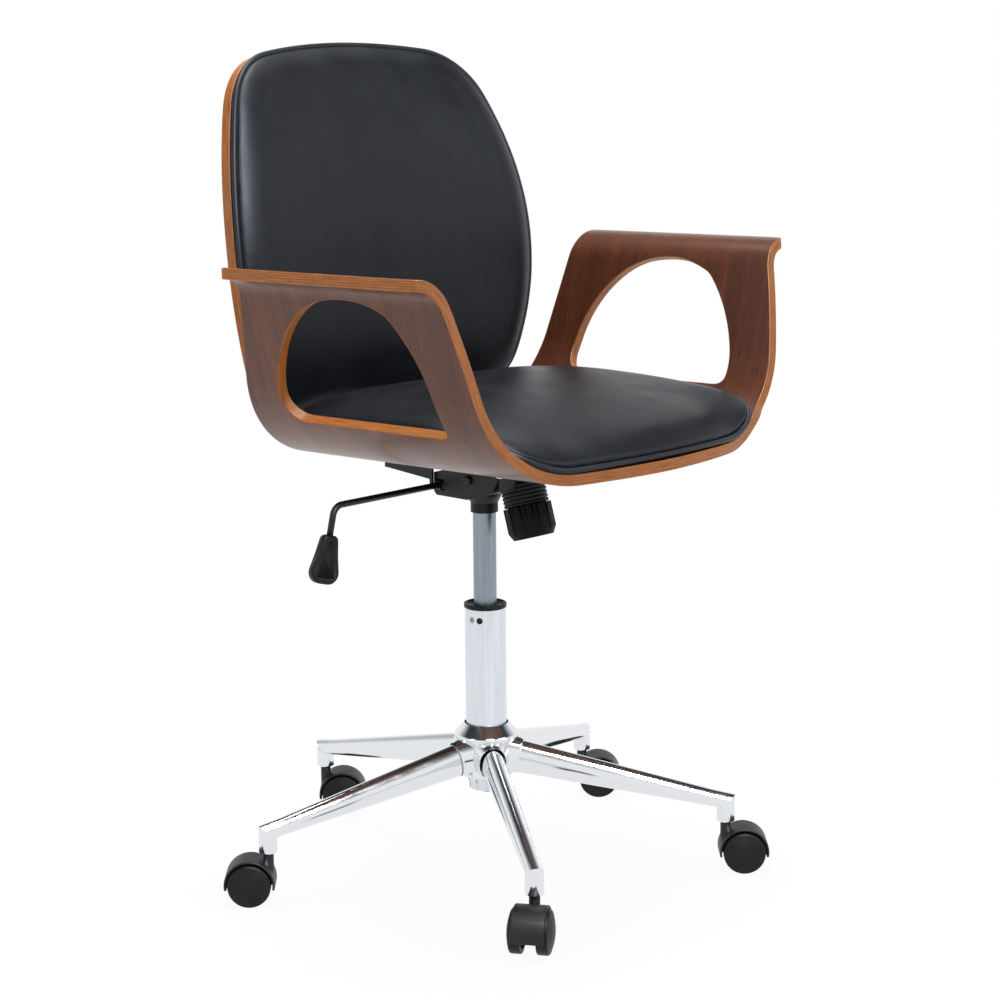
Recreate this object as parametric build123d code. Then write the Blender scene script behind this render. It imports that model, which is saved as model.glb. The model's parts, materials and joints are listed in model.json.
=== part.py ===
from build123d import *
import math
import os

# Office chair with a bent plywood seat shell that turns up into two looped
# armrests, a padded bent plywood back, a swivelling gas lift and a five-legged
# chromed base on twin-wheel casters. Millimetres, +Z up, origin on the floor
# under the column axis, sitter facing -Y, sitter's right hand towards -X.

# Base
LEG_COUNT = 5
FIRST_LEG_ANGLE = 90.0
SOCKET_CIRCLE_R = 293.0
SOCKET_R = 11.0
SOCKET_BOTTOM_Z = 61.5
LEG_TIP_TOP_Z = 94.5
LEG_TIP_MITRE_LOW_Z = 78.5
LEG_ROOT_R = 18.0
LEG_ROOT_MID_Z = 139.5
LEG_ROOT_WIDTH = 29.0
LEG_ROOT_HEIGHT = 43.0
LEG_TIP_SIZE = 21.0
HUB_TOP_Z = 178.5
HUB_BOTTOM_Z = 111.5
HUB_MOUTH_R = 27.5
HUB_SHOULDER_R = 37.0
HUB_SHOULDER_DROP = 16.0
HUB_WAIST_R = 33.0
HUB_WAIST_DROP = 26.0
HUB_FOOT_CUT = 4.0

# Column
TUBE_R = 25.0
TUBE_BORE_R = 23.0
TUBE_TOP_Z = 323.0
TUBE_FOOT_R = 21.5
TUBE_FOOT_Z = 95.5
TUBE_FLOOR = 5.0
BUSH_LOW_Z = 227.5
BUSH_LIP_R = 25.9
BUSH_LIP_HEIGHT = 4.8
BUSH_LIP_ROUND = 1.2
BUSH_RIM = 3.0
BUSH_DISH = 1.8
BEARING_R = 13.0
BEARING_HEIGHT = 6.0
GAS_R = 14.0
GAS_BORE_R = 12.0
GAS_LOW_Z = 237.5
GAS_TOP_Z = 469.5
GAS_TAPER_LOW_Z = 441.5
GAS_TAPER_TOP_R = 13.2
GAS_SEAL = 14.0
GAS_HEAD = 30.0
ROD_R = 5.0
ROD_LOW_Z = 89.5
ROD_COLLAR_R = 9.0
ROD_COLLAR_HEIGHT = 4.0
PISTON_LIFT = 18.0
PISTON_HEIGHT = 15.0
CLIP_R = 9.0
CLIP_LOW_Z = 93.1
CLIP_THICK = 1.8
CLIP_PLAY = 0.1
CLIP_GROOVE = 1.2
CLIP_MOUTH = 3.0
RUN_CLEARANCE = 0.05
PIN_R = 3.5
PIN_TOP_Z = 477.9
PIN_LENGTH = 22.0
PIN_STROKE = 4.5

# Casters
WHEEL_R = 25.6
WHEEL_INNER_Y = 9.0
WHEEL_OUTER_Y = 23.0
WHEEL_DOME = 4.0
WHEEL_EDGE = 3.2
WHEEL_RIM = 6.0
WHEEL_HUB_R = 9.0
WHEEL_RECESS = 3.0
AXLE_R = 4.0
AXLE_HALF = 19.0
AXLE_BOSS_R = 8.5
CASTER_TRAIL = 22.0
HOOD_R = 30.0
HOOD_WALL = 2.6
HOOD_HALF_WIDTH = 19.2
HOOD_EDGE = 1.2
HOOD_SKIRT = 5.0
HOOD_WEB_HALF = 4.0
HOOD_WEB_DROP = 3.0
STEM_R = 5.5
STEM_TOP_Z = 79.5
STEM_FOOT_R = 4.0
STEM_FOOT_LIFT = 14.0
STEM_BOSS_R = 6.4
STEM_BOSS_LIFT = 8.0
NECK_R = 6.0
NECK_HEIGHT = 1.0
CASTER_HEADINGS = (-46.0, 134.0, 212.0, -47.0, -46.0)

# Tilt mechanism
PLATE_THICK = 3.0
PLATE_CORNER = 14.0
HOUSING_TOP_GAP = 7.0
PLATE_HALF_WIDTH = 76.0
PLATE_FRONT_Y = -94.0
PLATE_REAR_Y = 114.0
FLANGE_X = 54.0
FLANGE_THICK = 3.0
FLANGE_OUTLINE = ((-78.0, 535.0), (110.0, 535.0), (112.0, 489.5), (36.0, 483.5), (34.0, 471.5),
                  (14.0, 469.5), (-26.0, 469.5), (-68.0, 480.5), (-77.0, 498.5))
HOUSING_HALF_WIDTH = 52.0
HOUSING_WALL = 3.0
HOUSING_FLOOR_Z = 464.5
HOUSING_FRONT_Y = -74.0
HOUSING_REAR_Y = 33.0
HOUSING_CORNER = 4.0
HOUSING_NOSE_Y = -22.0
HOUSING_NOSE_RISE = 16.0
PIVOT_Y = -29.0
PIVOT_Z = 490.0
PIVOT_R = 5.0
PIVOT_HEAD_R = 5.6
PIVOT_HEAD = 4.0
PIVOT_PLAY = 0.4
TILT_SLOPE = 0.27
TAPER_SOCKET_R = 21.5
TAPER_SOCKET_LOW_Z = 452.5
TAPER_SOCKET_CONE = 9.0
TAPER_SOCKET_NECK_R = 17.0
RING_R = 16.6
RING_LOW_Z = 440.5
PLATE_BOLT_X = 66.0
PLATE_BOLT_R = 3.0
PLATE_BOLT_HEAD_R = 5.8
PLATE_BOLT_HEAD = 4.0
PLATE_BOLT_YS = (-80.0, 96.0)

# Tension adjuster, on an axis that leans forward and down
KNOB_TOP = (0.0, -62.0, 483.5)
KNOB_LEAN = 16.5
CUP_R = 27.0
CUP_LENGTH = 27.5
CUP_RIBS = 6
CUP_RIB_DEPTH = 1.4
CUP_WALL = 3.0
CUP_SPIGOT_R = 23.0
CUP_SPIGOT = 3.0
KNOB_R = 28.8
KNOB_LENGTH = 38.5
KNOB_GAP = 0.4
KNOB_LOBES = 12
KNOB_LOBE_R = 3.0
KNOB_TAPER = 9.0
KNOB_END_R = 24.0
KNOB_DISH_R = 20.0
KNOB_DISH = 2.0
KNOB_END_WALL = 9.0
TENSION_BOLT_R = 5.0
TENSION_BOLT_RISE = 8.0
TENSION_HEAD_R = 9.0
TENSION_HEAD = 5.0
SPRING_R = 19.0
SPRING_WALL = 5.0

# Lever
LEVER_Y = 22.6
LEVER_Z = 477.5
LEVER_R = 3.8
LEVER_BEND_X = -223.5
LEVER_END_X = -233.0
LEVER_END_Z = 440.5
LEVER_BEND_R = 14.0
ROCKER_R = 6.5
ROCKER_BARREL_R = 7.1
ROCKER_BARREL_HALF = 3.9
ROCKER_HINGE_X = -50.5
ROCKER_PLAY = 0.6
ROCKER_OUT_X = -53.2
ROCKER_IN_X = -18.0
ROCKER_LIP = 3.0
ROCKER_TONGUE = 4.0
GRIP_ON_ROD = 4.5
GRIP_LENGTH = 56.5
GRIP_TOP_WIDTH = 18.0
GRIP_WAIST_WIDTH = 26.0
GRIP_WAIST = 0.35
GRIP_LOW_WIDTH = 42.0
GRIP_THICK = 12.0
GRIP_CORNER = 7.0
GRIP_LOW_CORNER = 13.0
GRIP_EDGE = 1.6
GRIP_RECESS = 1.0
GRIP_TWIST = 12.0

# Seat shell: a plywood section bent in one direction, in its own frame whose
# origin is the underside of the seat over the column
SEAT_Z = 518.5
SEAT_PITCH = 1.2
PLY = 13.0
SEAT_FLAT_HALF = 130.0
SEAT_BEND_R = 136.0
ARM_LEAN = 13.3
ARM_TOP_Z = 235.5
ARM_ROLL_R = 29.5
ARM_FLAT = 4.0
SEAT_FRONT_Y = -288.0
SEAT_REAR_Y = 152.0
ARM_CORNER = 34.0
WINDOW_TILT = 22.0

# Seat pad
PAD_GAP = 0.4
SEAT_PAD_HALF = 224.0
SEAT_PAD_FRONT = -281.0
SEAT_PAD_REAR = 157.0
SEAT_PAD_CROWN_Z = 79.0
SEAT_PAD_SIDE_Z = 66.0
SEAT_PAD_REAR_DROP = 8.0
SEAT_PAD_EDGE = 17.0
SEAT_PAD_SIDE_EDGE = 8.0
SEAT_PAD_FRONT_SWEEP = 36.0
SEAT_PAD_CORNER_Y = -165.0
SEAT_PAD_REAR_CORNER_Y = 60.0
BOARD_HALF_X = 146.0
BOARD_FRONT = -190.0
BOARD_REAR = 140.0
BOARD_THICK = 9.0
BOARD_Z = 14.6
BOARD_CORNER = 30.0
PAD_SCREW_X = 134.0
PAD_SCREW_R = 2.5
PAD_SCREW_HEAD = (7.0, 3.8)
PAD_SCREW_YS = (-154.0, 122.0)

# Back
BACK_PLY = 12.0
BACK_BEND_R = 750.0
BACK_SIDE_ARC = ((190.0, 551.5), (203.5, 795.5), (249.0, 995.5))
BACK_TOP_Z = 991.5
BACK_SHOULDER = (184.0, 974.5)
BACK_WIDEST = (246.0, 737.5)
BACK_FOOT = (199.0, 555.5)
BACK_TOP_CORNER_R = 98.0
BACK_FOOT_CORNER_R = 70.0
BACK_PAD_INSET = 3.0
BACK_PAD_EDGE = 19.0
BACK_PAD_CROWN = 36.0
BACK_PAD_BEND_R = 1566.0
BACK_PAD_ROUND = 8.0

# Steel straps that carry the back
STRAP_X = 100.0
STRAP_WIDTH = 36.0
STRAP_THICK = 5.0
STRAP_FRONT_Y = 36.0
STRAP_LOW_Z = 557.5
STRAP_TOP_Z = 735.5
STRAP_STAND_OFF = 0.6
STRAP_BEND_R = 28.0
STRAP_BOLT_R = 3.0
STRAP_BOLT_HEAD = (6.0, 3.4)
STRAP_BOLT_RISE = 1.6
STRAP_SEAT_BOLT_YS = (58.0, 128.0)
STRAP_BACK_BOLT_ZS = (627.5, 711.5)

# Reach of the blocks that trim other solids
FAR = 500.0
EPS = 1.0


def drum(radius, low, high, inner=0.0):
    """Upright cylinder or sleeve on the column axis."""
    solid = Pos(0, 0, low) * extrude(Circle(radius), high - low)
    if inner:
        solid -= Pos(0, 0, low - EPS) * extrude(Circle(inner), high - low + 2 * EPS)
    return solid


def turned(points):
    """Solid of revolution about Z from (radius, height) points."""
    outline = Polyline(*[(r, 0, z) for r, z in points], close=True)
    return revolve(make_face(outline), Axis.Z)


def along(start, direction):
    """Plane at a point whose normal is the given direction."""
    return Plane(origin=start, z_dir=direction)


def block(x0, x1, y0, y1, z0, z1):
    """Box between two corners."""
    size = (x1 - x0, y1 - y0, z1 - z0)
    return Pos((x0 + x1) / 2, (y0 + y1) / 2, (z0 + z1) / 2) * Box(*size)


def bar(start, end, radius):
    """Round bar between two points."""
    line = Vector(*end) - Vector(*start)
    return extrude(along(start, line) * Circle(radius), line.length)


def cap_arc(base, radius, height):
    """Arc of a spherical cap from its rim to its pole, as (along axis, radius) points."""
    sphere = (radius ** 2 + height ** 2) / (2 * height)
    centre = base + height - sphere
    half = math.asin(radius / sphere) / 2
    return (base, radius), (centre + sphere * math.cos(half), sphere * math.sin(half)), (base + height, 0)


def dome_screw(radius, height, shank_radius, shank_length):
    """Dome-head screw along +Z with its head below the origin."""
    rim, middle, pole = [(r, 0, -z) for z, r in cap_arc(0.0, radius, height)]
    outline = [Line((0, 0, 0), rim), ThreePointArc(rim, middle, pole), Line(pole, (0, 0, 0))]
    return revolve(make_face(outline), Axis.Z) + drum(shank_radius, 0, shank_length)


# Column pieces

def column_tube():
    """Chromed outer tube, tapered below into the hub, closed by a floor."""
    outer = turned([(0, TUBE_FOOT_Z), (TUBE_FOOT_R, TUBE_FOOT_Z), (TUBE_R, HUB_TOP_Z),
                    (TUBE_R, TUBE_TOP_Z), (0, TUBE_TOP_Z)])
    floor_top = TUBE_FOOT_Z + TUBE_FLOOR
    bore = turned([(0, floor_top), (TUBE_FOOT_R - 2, floor_top), (TUBE_BORE_R, HUB_TOP_Z),
                   (TUBE_BORE_R, TUBE_TOP_Z + EPS), (0, TUBE_TOP_Z + EPS)])
    rod_hole = drum(ROD_R + RUN_CLEARANCE, TUBE_FOOT_Z - EPS, floor_top + EPS)
    return outer - bore - rod_hole


def guide_bush():
    """Nylon sleeve in the tube's mouth that guides the gas cylinder."""
    lip_top = TUBE_TOP_Z + BUSH_LIP_HEIGHT
    lip = drum(BUSH_LIP_R, TUBE_TOP_Z, lip_top)
    lip = fillet(lip.edges().group_by(Axis.Z)[-1], BUSH_LIP_ROUND)
    lip -= drum(BUSH_LIP_R - BUSH_RIM, lip_top - BUSH_DISH, lip_top + EPS)
    bush = drum(TUBE_BORE_R, BUSH_LOW_Z, TUBE_TOP_Z) + lip
    return bush - drum(GAS_R + RUN_CLEARANCE, BUSH_LOW_Z - EPS, lip_top + EPS)


def thrust_bearing():
    """Bearing ring on the tube's floor that carries the piston rod."""
    low = TUBE_FOOT_Z + TUBE_FLOOR
    return drum(BEARING_R, low, low + BEARING_HEIGHT, ROD_R + RUN_CLEARANCE)


def piston_rod():
    """Rod with a collar on the bearing, a clip groove and the piston."""
    collar_low = TUBE_FOOT_Z + TUBE_FLOOR + BEARING_HEIGHT + RUN_CLEARANCE
    piston_low = GAS_LOW_Z + PISTON_LIFT
    rod = drum(ROD_R, ROD_LOW_Z, piston_low + PISTON_HEIGHT)
    rod += drum(ROD_COLLAR_R, collar_low, collar_low + ROD_COLLAR_HEIGHT)
    rod += drum(GAS_BORE_R - RUN_CLEARANCE, piston_low, piston_low + PISTON_HEIGHT)
    groove_top = CLIP_LOW_Z + CLIP_THICK + CLIP_PLAY
    return rod - drum(ROD_R + EPS, CLIP_LOW_Z - CLIP_PLAY, groove_top, ROD_R - CLIP_GROOVE)


def rod_clip():
    """Spring clip in the rod's groove, under the column."""
    top = CLIP_LOW_Z + CLIP_THICK
    ring = drum(CLIP_R, CLIP_LOW_Z, top, ROD_R - CLIP_GROOVE)
    return ring - block(-CLIP_MOUTH / 2, CLIP_MOUTH / 2, 0, CLIP_R + EPS, CLIP_LOW_Z - EPS, top + EPS)


def gas_taper():
    """Outer shape of the gas spring cylinder with its tapered head."""
    return turned([(0, GAS_LOW_Z), (GAS_R, GAS_LOW_Z), (GAS_R, GAS_TAPER_LOW_Z),
                   (GAS_TAPER_TOP_R, GAS_TOP_Z), (0, GAS_TOP_Z)])


def gas_cylinder():
    """Gas spring cylinder with its tapered head and the pin's bore."""
    shell = gas_taper()
    seal_top = GAS_LOW_Z + GAS_SEAL
    shell -= drum(GAS_BORE_R, seal_top, GAS_TOP_Z - GAS_HEAD)
    shell -= drum(ROD_R + RUN_CLEARANCE, GAS_LOW_Z - EPS, seal_top + EPS)
    pin_floor = PIN_TOP_Z - PIN_LENGTH - PIN_STROKE - 1.0
    return shell - drum(PIN_R + RUN_CLEARANCE, pin_floor, GAS_TOP_Z + EPS)


def release_pin():
    """Valve pin in the cylinder's head that the lever pushes down."""
    pin = drum(PIN_R, PIN_TOP_Z - PIN_LENGTH, PIN_TOP_Z)
    return chamfer(pin.edges().group_by(Axis.Z)[-1], 0.8)


# Base pieces

def base_hub():
    """Pressed hub: mouth, cone, waist and foot, bored to the column's taper."""
    hub = turned([(0, HUB_BOTTOM_Z), (HUB_WAIST_R - HUB_FOOT_CUT, HUB_BOTTOM_Z),
                  (HUB_WAIST_R, HUB_BOTTOM_Z + HUB_FOOT_CUT), (HUB_WAIST_R, HUB_TOP_Z - HUB_WAIST_DROP),
                  (HUB_SHOULDER_R, HUB_TOP_Z - HUB_SHOULDER_DROP), (HUB_MOUTH_R, HUB_TOP_Z), (0, HUB_TOP_Z)])
    taper = turned([(0, TUBE_FOOT_Z), (TUBE_FOOT_R, TUBE_FOOT_Z), (TUBE_R, HUB_TOP_Z),
                    (TUBE_R, HUB_TOP_Z + EPS), (0, HUB_TOP_Z + EPS)])
    return hub - taper


def mitre_half(side):
    """Half space on the hub's side (-1) or the socket's side (+1) of a leg's mitre."""
    low = Vector(SOCKET_CIRCLE_R - SOCKET_R, 0, LEG_TIP_MITRE_LOW_Z)
    high = Vector(SOCKET_CIRCLE_R + SOCKET_R, 0, LEG_TIP_TOP_Z)
    run = (high - low).normalized()
    normal = Vector(run.Z, 0, -run.X) * side
    return extrude(Plane(origin=(low + high) / 2, x_dir=(0, 1, 0), z_dir=normal) * Rectangle(FAR, FAR), FAR)


def leg_blank(hub):
    """Oval tapered leg along +X, butted on the hub and mitred at its tip."""
    tip_top = (LEG_TIP_TOP_Z + LEG_TIP_MITRE_LOW_Z) / 2
    root = Vector(LEG_ROOT_R, 0, LEG_ROOT_MID_Z)
    tip = Vector(SOCKET_CIRCLE_R, 0, tip_top)
    line = tip - root
    direction = line.normalized()
    end = tip + direction * 2 * SOCKET_R
    root_plane = Plane(origin=root, x_dir=(0, 1, 0), z_dir=direction)
    end_plane = Plane(origin=end, x_dir=(0, 1, 0), z_dir=direction)
    sections = [root_plane * Ellipse(LEG_ROOT_WIDTH / 2, LEG_ROOT_HEIGHT / 2),
                end_plane * Ellipse(LEG_TIP_SIZE / 2, LEG_TIP_SIZE / 2 - EPS)]
    leg = loft(sections) & mitre_half(-1)
    core = turned([(0, SOCKET_BOTTOM_Z), (HUB_WAIST_R, SOCKET_BOTTOM_Z),
                   (HUB_WAIST_R, HUB_TOP_Z - HUB_WAIST_DROP), (HUB_SHOULDER_R, HUB_TOP_Z - HUB_SHOULDER_DROP),
                   (HUB_SHOULDER_R, TUBE_TOP_Z), (0, TUBE_TOP_Z)])
    return leg - core - hub


def socket_blank():
    """Upright socket tube under a leg's tip, bored for a caster stem."""
    centre = Pos(SOCKET_CIRCLE_R, 0, 0)
    tube = centre * drum(SOCKET_R, SOCKET_BOTTOM_Z, LEG_TIP_TOP_Z + SOCKET_R) & mitre_half(1)
    return tube - centre * drum(STEM_R + RUN_CLEARANCE, SOCKET_BOTTOM_Z - EPS, STEM_TOP_Z + 2 * EPS)


# Caster pieces, with the stem on Z and the wheels trailing towards +X

def caster_frame():
    """Plane of the wheels' axle: its normal runs along the axle."""
    return Plane(origin=(CASTER_TRAIL, 0, WHEEL_R), x_dir=(1, 0, 0), z_dir=(0, -1, 0))


def caster_hood():
    """Arched hood over both wheels, with a web for the axle and a stem boss."""
    frame = caster_frame()
    below = Rectangle(4 * HOOD_R, 2 * HOOD_R)
    arch = Circle(HOOD_R) - Circle(HOOD_R - HOOD_WALL) - Pos(0, -HOOD_SKIRT - HOOD_R) * below
    web = Circle(HOOD_R - HOOD_WALL / 2) - Pos(0, -HOOD_WEB_DROP - HOOD_R) * below + Circle(AXLE_BOSS_R)
    hood = extrude(frame * arch, HOOD_HALF_WIDTH, both=True)
    rims = hood.edges().filter_by(GeomType.CIRCLE).filter_by(lambda edge: edge.radius > HOOD_R - EPS)
    hood = fillet(rims, HOOD_EDGE)
    hood += extrude(frame * web, HOOD_WEB_HALF, both=True)
    boss = drum(STEM_BOSS_R, WHEEL_R + STEM_BOSS_LIFT, SOCKET_BOTTOM_Z - NECK_HEIGHT)
    hood += boss
    hood -= extrude(frame * Circle(AXLE_R), HOOD_HALF_WIDTH, both=True)
    return hood - drum(STEM_FOOT_R, WHEEL_R + STEM_FOOT_LIFT, SOCKET_BOTTOM_Z)


def caster_stem():
    """Steel stem with a neck collar that bears on the socket's mouth."""
    mouth = SOCKET_BOTTOM_Z - RUN_CLEARANCE
    pin = drum(STEM_R, mouth, STEM_TOP_Z)
    stem = chamfer(pin.edges().group_by(Axis.Z)[-1], EPS)
    stem += drum(NECK_R, SOCKET_BOTTOM_Z - NECK_HEIGHT, mouth)
    return stem + drum(STEM_FOOT_R, WHEEL_R + STEM_FOOT_LIFT, SOCKET_BOTTOM_Z - NECK_HEIGHT)


def caster_axle():
    """Steel axle, fast in the hood's web."""
    return extrude(caster_frame() * Circle(AXLE_R), AXLE_HALF, both=True)


def caster_wheel(side):
    """Moulded wheel with a rounded tread edge and a domed outer face."""
    inner, outer = WHEEL_INNER_Y, WHEEL_OUTER_Y
    bore = AXLE_R + RUN_CLEARANCE
    bore_end = AXLE_HALF + RUN_CLEARANCE * 10
    rim = WHEEL_R - WHEEL_RIM
    turn_in = WHEEL_EDGE * (1 - math.sqrt(0.5))
    with BuildSketch(Plane.XY) as section:
        with BuildLine():
            Polyline((inner, bore), (inner, WHEEL_HUB_R), (inner + WHEEL_RECESS, WHEEL_HUB_R + EPS),
                     (inner + WHEEL_RECESS, rim), (inner, rim + EPS), (inner, WHEEL_R - EPS),
                     (inner + EPS, WHEEL_R), (outer - WHEEL_EDGE, WHEEL_R))
            ThreePointArc((outer - WHEEL_EDGE, WHEEL_R), (outer - turn_in, WHEEL_R - turn_in),
                          (outer, WHEEL_R - WHEEL_EDGE))
            ThreePointArc(*cap_arc(outer, WHEEL_R - WHEEL_EDGE, WHEEL_DOME))
            Polyline((outer + WHEEL_DOME, 0), (bore_end, 0), (bore_end, bore), (inner, bore))
        make_face()
    wheel = revolve(section.sketch, Axis.X)
    turn = Rot(0, 0, 90 * side)
    return Pos(CASTER_TRAIL, 0, WHEEL_R) * turn * wheel


# Tilt mechanism

def side_wall(points, x, thickness):
    """Wall in a plane of constant X from (y, z) points, growing towards +X."""
    outline = Polyline(*[(x, y, z) for y, z in points], close=True)
    return extrude(make_face(outline), thickness, dir=(1, 0, 0))


def housing_top(y):
    """Height of the housing's wall, kept below the tilted seat plate."""
    level = SEAT_Z - PLATE_THICK - HOUSING_TOP_GAP
    return level - max(0.0, y - PIVOT_Y) * TILT_SLOPE


def knob_axis():
    """Direction of the tension adjuster, forward and down."""
    lean = math.radians(KNOB_LEAN)
    return Vector(0, -math.sin(lean), -math.cos(lean))


def mechanism_housing():
    """Pressed steel box, open on top, that holds the column and the pivot."""
    width, wall, cut = HOUSING_HALF_WIDTH, HOUSING_WALL, HOUSING_CORNER
    front, rear, low = HOUSING_FRONT_Y, HOUSING_REAR_Y, HOUSING_FLOOR_Z
    nose = low + HOUSING_NOSE_RISE
    profile = [(front, nose), (HOUSING_NOSE_Y, low), (rear - cut, low), (rear, low + cut),
               (rear, housing_top(rear)), (PIVOT_Y, housing_top(PIVOT_Y)), (front, housing_top(front))]
    solid = side_wall(profile, -width, 2 * width)
    inner = [(front + wall, nose + wall), (HOUSING_NOSE_Y, low + wall), (rear - cut - wall, low + wall),
             (rear - wall, low + cut + wall), (rear - wall, SEAT_Z), (front + wall, SEAT_Z)]
    solid -= side_wall(inner, -width + wall, 2 * (width - wall))
    solid -= drum(TAPER_SOCKET_R, low - wall, low + 2 * wall)
    solid -= Pos(0, PIVOT_Y, PIVOT_Z) * Rot(0, 90, 0) * Cylinder(PIVOT_R, 4 * width)
    solid -= rocker_barrel(ROCKER_BARREL_R + RUN_CLEARANCE, ROCKER_R + ROCKER_PLAY)
    top = Vector(*KNOB_TOP)
    return solid - bar(top, top + knob_axis() * (CUP_LENGTH + KNOB_LENGTH), CUP_R)


def taper_socket():
    """Steel socket welded in the housing, coned to the gas cylinder's head."""
    top = GAS_TOP_Z - EPS
    body = turned([(0, TAPER_SOCKET_LOW_Z), (TAPER_SOCKET_NECK_R, TAPER_SOCKET_LOW_Z),
                   (TAPER_SOCKET_R, TAPER_SOCKET_LOW_Z + TAPER_SOCKET_CONE), (TAPER_SOCKET_R, top), (0, top)])
    return body - gas_taper()


def column_ring():
    """Black cover ring under the taper socket."""
    return drum(RING_R, RING_LOW_Z, TAPER_SOCKET_LOW_Z) - gas_taper()


def pivot_pin():
    """Tilt pivot across the housing, with a head outside each flange."""
    half = FLANGE_X + FLANGE_THICK + PIVOT_PLAY
    pin = Pos(0, PIVOT_Y, PIVOT_Z) * Rot(0, 90, 0) * Cylinder(PIVOT_R, 2 * half + PIVOT_HEAD)
    for side in (-1, 1):
        centre = Pos(side * (half + PIVOT_HEAD / 2), PIVOT_Y, PIVOT_Z)
        head = centre * Rot(0, 90, 0) * Cylinder(PIVOT_HEAD_R, PIVOT_HEAD)
        pin += chamfer(head.edges(), EPS)
    return pin


def seat_plate():
    """Pressed steel plate on the seat's underside with flanges over the housing."""
    plate = block(-PLATE_HALF_WIDTH, PLATE_HALF_WIDTH, PLATE_FRONT_Y, PLATE_REAR_Y, -PLATE_THICK, 0)
    plate = fillet(plate.edges().filter_by(Axis.Z), PLATE_CORNER)
    below = seat_place() * block(-FAR, FAR, -FAR, FAR, -FAR, -PLATE_THICK / 2)
    for x in (-1, 1):
        for y in PLATE_BOLT_YS:
            plate -= Pos(x * PLATE_BOLT_X, y, 0) * drum(PLATE_BOLT_R, -PLATE_THICK - EPS, EPS)
    plate = seat_place() * plate
    for x in (-FLANGE_X - FLANGE_THICK, FLANGE_X):
        plate += side_wall(FLANGE_OUTLINE, x, FLANGE_THICK) & below
    plate -= Pos(0, PIVOT_Y, PIVOT_Z) * Rot(0, 90, 0) * Cylinder(PIVOT_R + RUN_CLEARANCE, 4 * FLANGE_X)
    slot = ROCKER_R + 2 * ROCKER_PLAY
    return plate - block(-FLANGE_X - 2 * FLANGE_THICK, -FLANGE_X + FLANGE_THICK,
                         LEVER_Y - slot - ROCKER_TONGUE, LEVER_Y + slot + EPS,
                         FLANGE_OUTLINE[5][1] - EPS, LEVER_Z + 3 * slot)


def spring_cup():
    """Ribbed cup around the tension spring, fixed under the housing's front."""
    pitch = CUP_LENGTH / CUP_RIBS
    points = [(0, 0), (CUP_R - CUP_RIB_DEPTH, 0)]
    for rib in range(CUP_RIBS):
        points += [(CUP_R, (rib + 0.35) * pitch), (CUP_R, (rib + 0.65) * pitch)]
        points += [(CUP_R - CUP_RIB_DEPTH, (rib + 1) * pitch)]
    points += [(0, CUP_LENGTH)]
    end = CUP_LENGTH + CUP_SPIGOT
    cup = turned(points) + drum(CUP_SPIGOT_R, CUP_LENGTH, end)
    cup -= drum(CUP_R - 2 * CUP_WALL, CUP_WALL, end + EPS)
    cup -= drum(TENSION_BOLT_R, -EPS, CUP_LENGTH)
    return adjuster() * cup


def adjuster():
    """Place of the tension adjuster: local +Z runs down its leaning axis."""
    return Plane(origin=KNOB_TOP, x_dir=(1, 0, 0), z_dir=knob_axis()).location


def tension_spring():
    """Sleeve that stands for the hidden compression spring in the cup."""
    return adjuster() * drum(SPRING_R, CUP_WALL, CUP_LENGTH, SPRING_R - SPRING_WALL)


def tension_bolt():
    """Bolt along the adjuster's axis that the knob turns on."""
    bolt = drum(TENSION_BOLT_R, -TENSION_BOLT_RISE, CUP_LENGTH + KNOB_LENGTH - KNOB_END_WALL - EPS)
    head = Pos(0, 0, -TENSION_BOLT_RISE - TENSION_HEAD) * RegularPolygon(TENSION_HEAD_R, 6)
    return adjuster() * (bolt + extrude(head, TENSION_HEAD))


def tension_knob():
    """Lobed hand knob below the cup, coned in at its end."""
    low = CUP_LENGTH + KNOB_GAP
    end = low + KNOB_LENGTH
    profile = Circle(KNOB_R)
    for lobe in range(KNOB_LOBES):
        turn = Rot(0, 0, lobe * 360.0 / KNOB_LOBES)
        profile -= turn * Pos(KNOB_R + KNOB_LOBE_R * 0.45, 0) * Circle(KNOB_LOBE_R)
    knob = Pos(0, 0, low) * extrude(profile, KNOB_LENGTH)
    knob &= turned([(0, low - EPS), (KNOB_R, low - EPS), (KNOB_R, end - KNOB_TAPER),
                    (KNOB_END_R, end), (0, end)])
    knob -= drum(TENSION_BOLT_R + RUN_CLEARANCE, low - EPS, end - KNOB_END_WALL)
    knob -= drum(CUP_SPIGOT_R + KNOB_GAP, low - EPS, low + CUP_SPIGOT + KNOB_GAP)
    knob -= drum(KNOB_DISH_R, end - KNOB_DISH, end + EPS)
    return adjuster() * knob


# Lever

def rocker_barrel(radius, half_length):
    """Round barrel across the lever, on the line that the lever rocks about."""
    ends = [(ROCKER_HINGE_X, LEVER_Y + side * half_length, LEVER_Z) for side in (-1, 1)]
    return bar(*ends, radius)


def lever_rocker():
    """Sleeve that rocks on a barrel in the housing's wall, with a tongue over the valve pin."""
    start = (ROCKER_OUT_X, LEVER_Y, LEVER_Z)
    sleeve = bar(start, (ROCKER_IN_X, LEVER_Y, LEVER_Z), ROCKER_R)
    sleeve += rocker_barrel(ROCKER_BARREL_R, ROCKER_BARREL_HALF)
    tongue_low = PIN_TOP_Z + ROCKER_PLAY
    tongue = block(ROCKER_IN_X - ROCKER_R, 2 * PIN_R, -2 * PIN_R, LEVER_Y + ROCKER_TONGUE,
                   tongue_low, tongue_low + ROCKER_TONGUE)
    mouth = (ROCKER_HINGE_X - ROCKER_BARREL_R - EPS, LEVER_Y, LEVER_Z)
    return sleeve + tongue - bar(mouth, (ROCKER_IN_X - ROCKER_LIP, LEVER_Y, LEVER_Z), LEVER_R + RUN_CLEARANCE)


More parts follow.
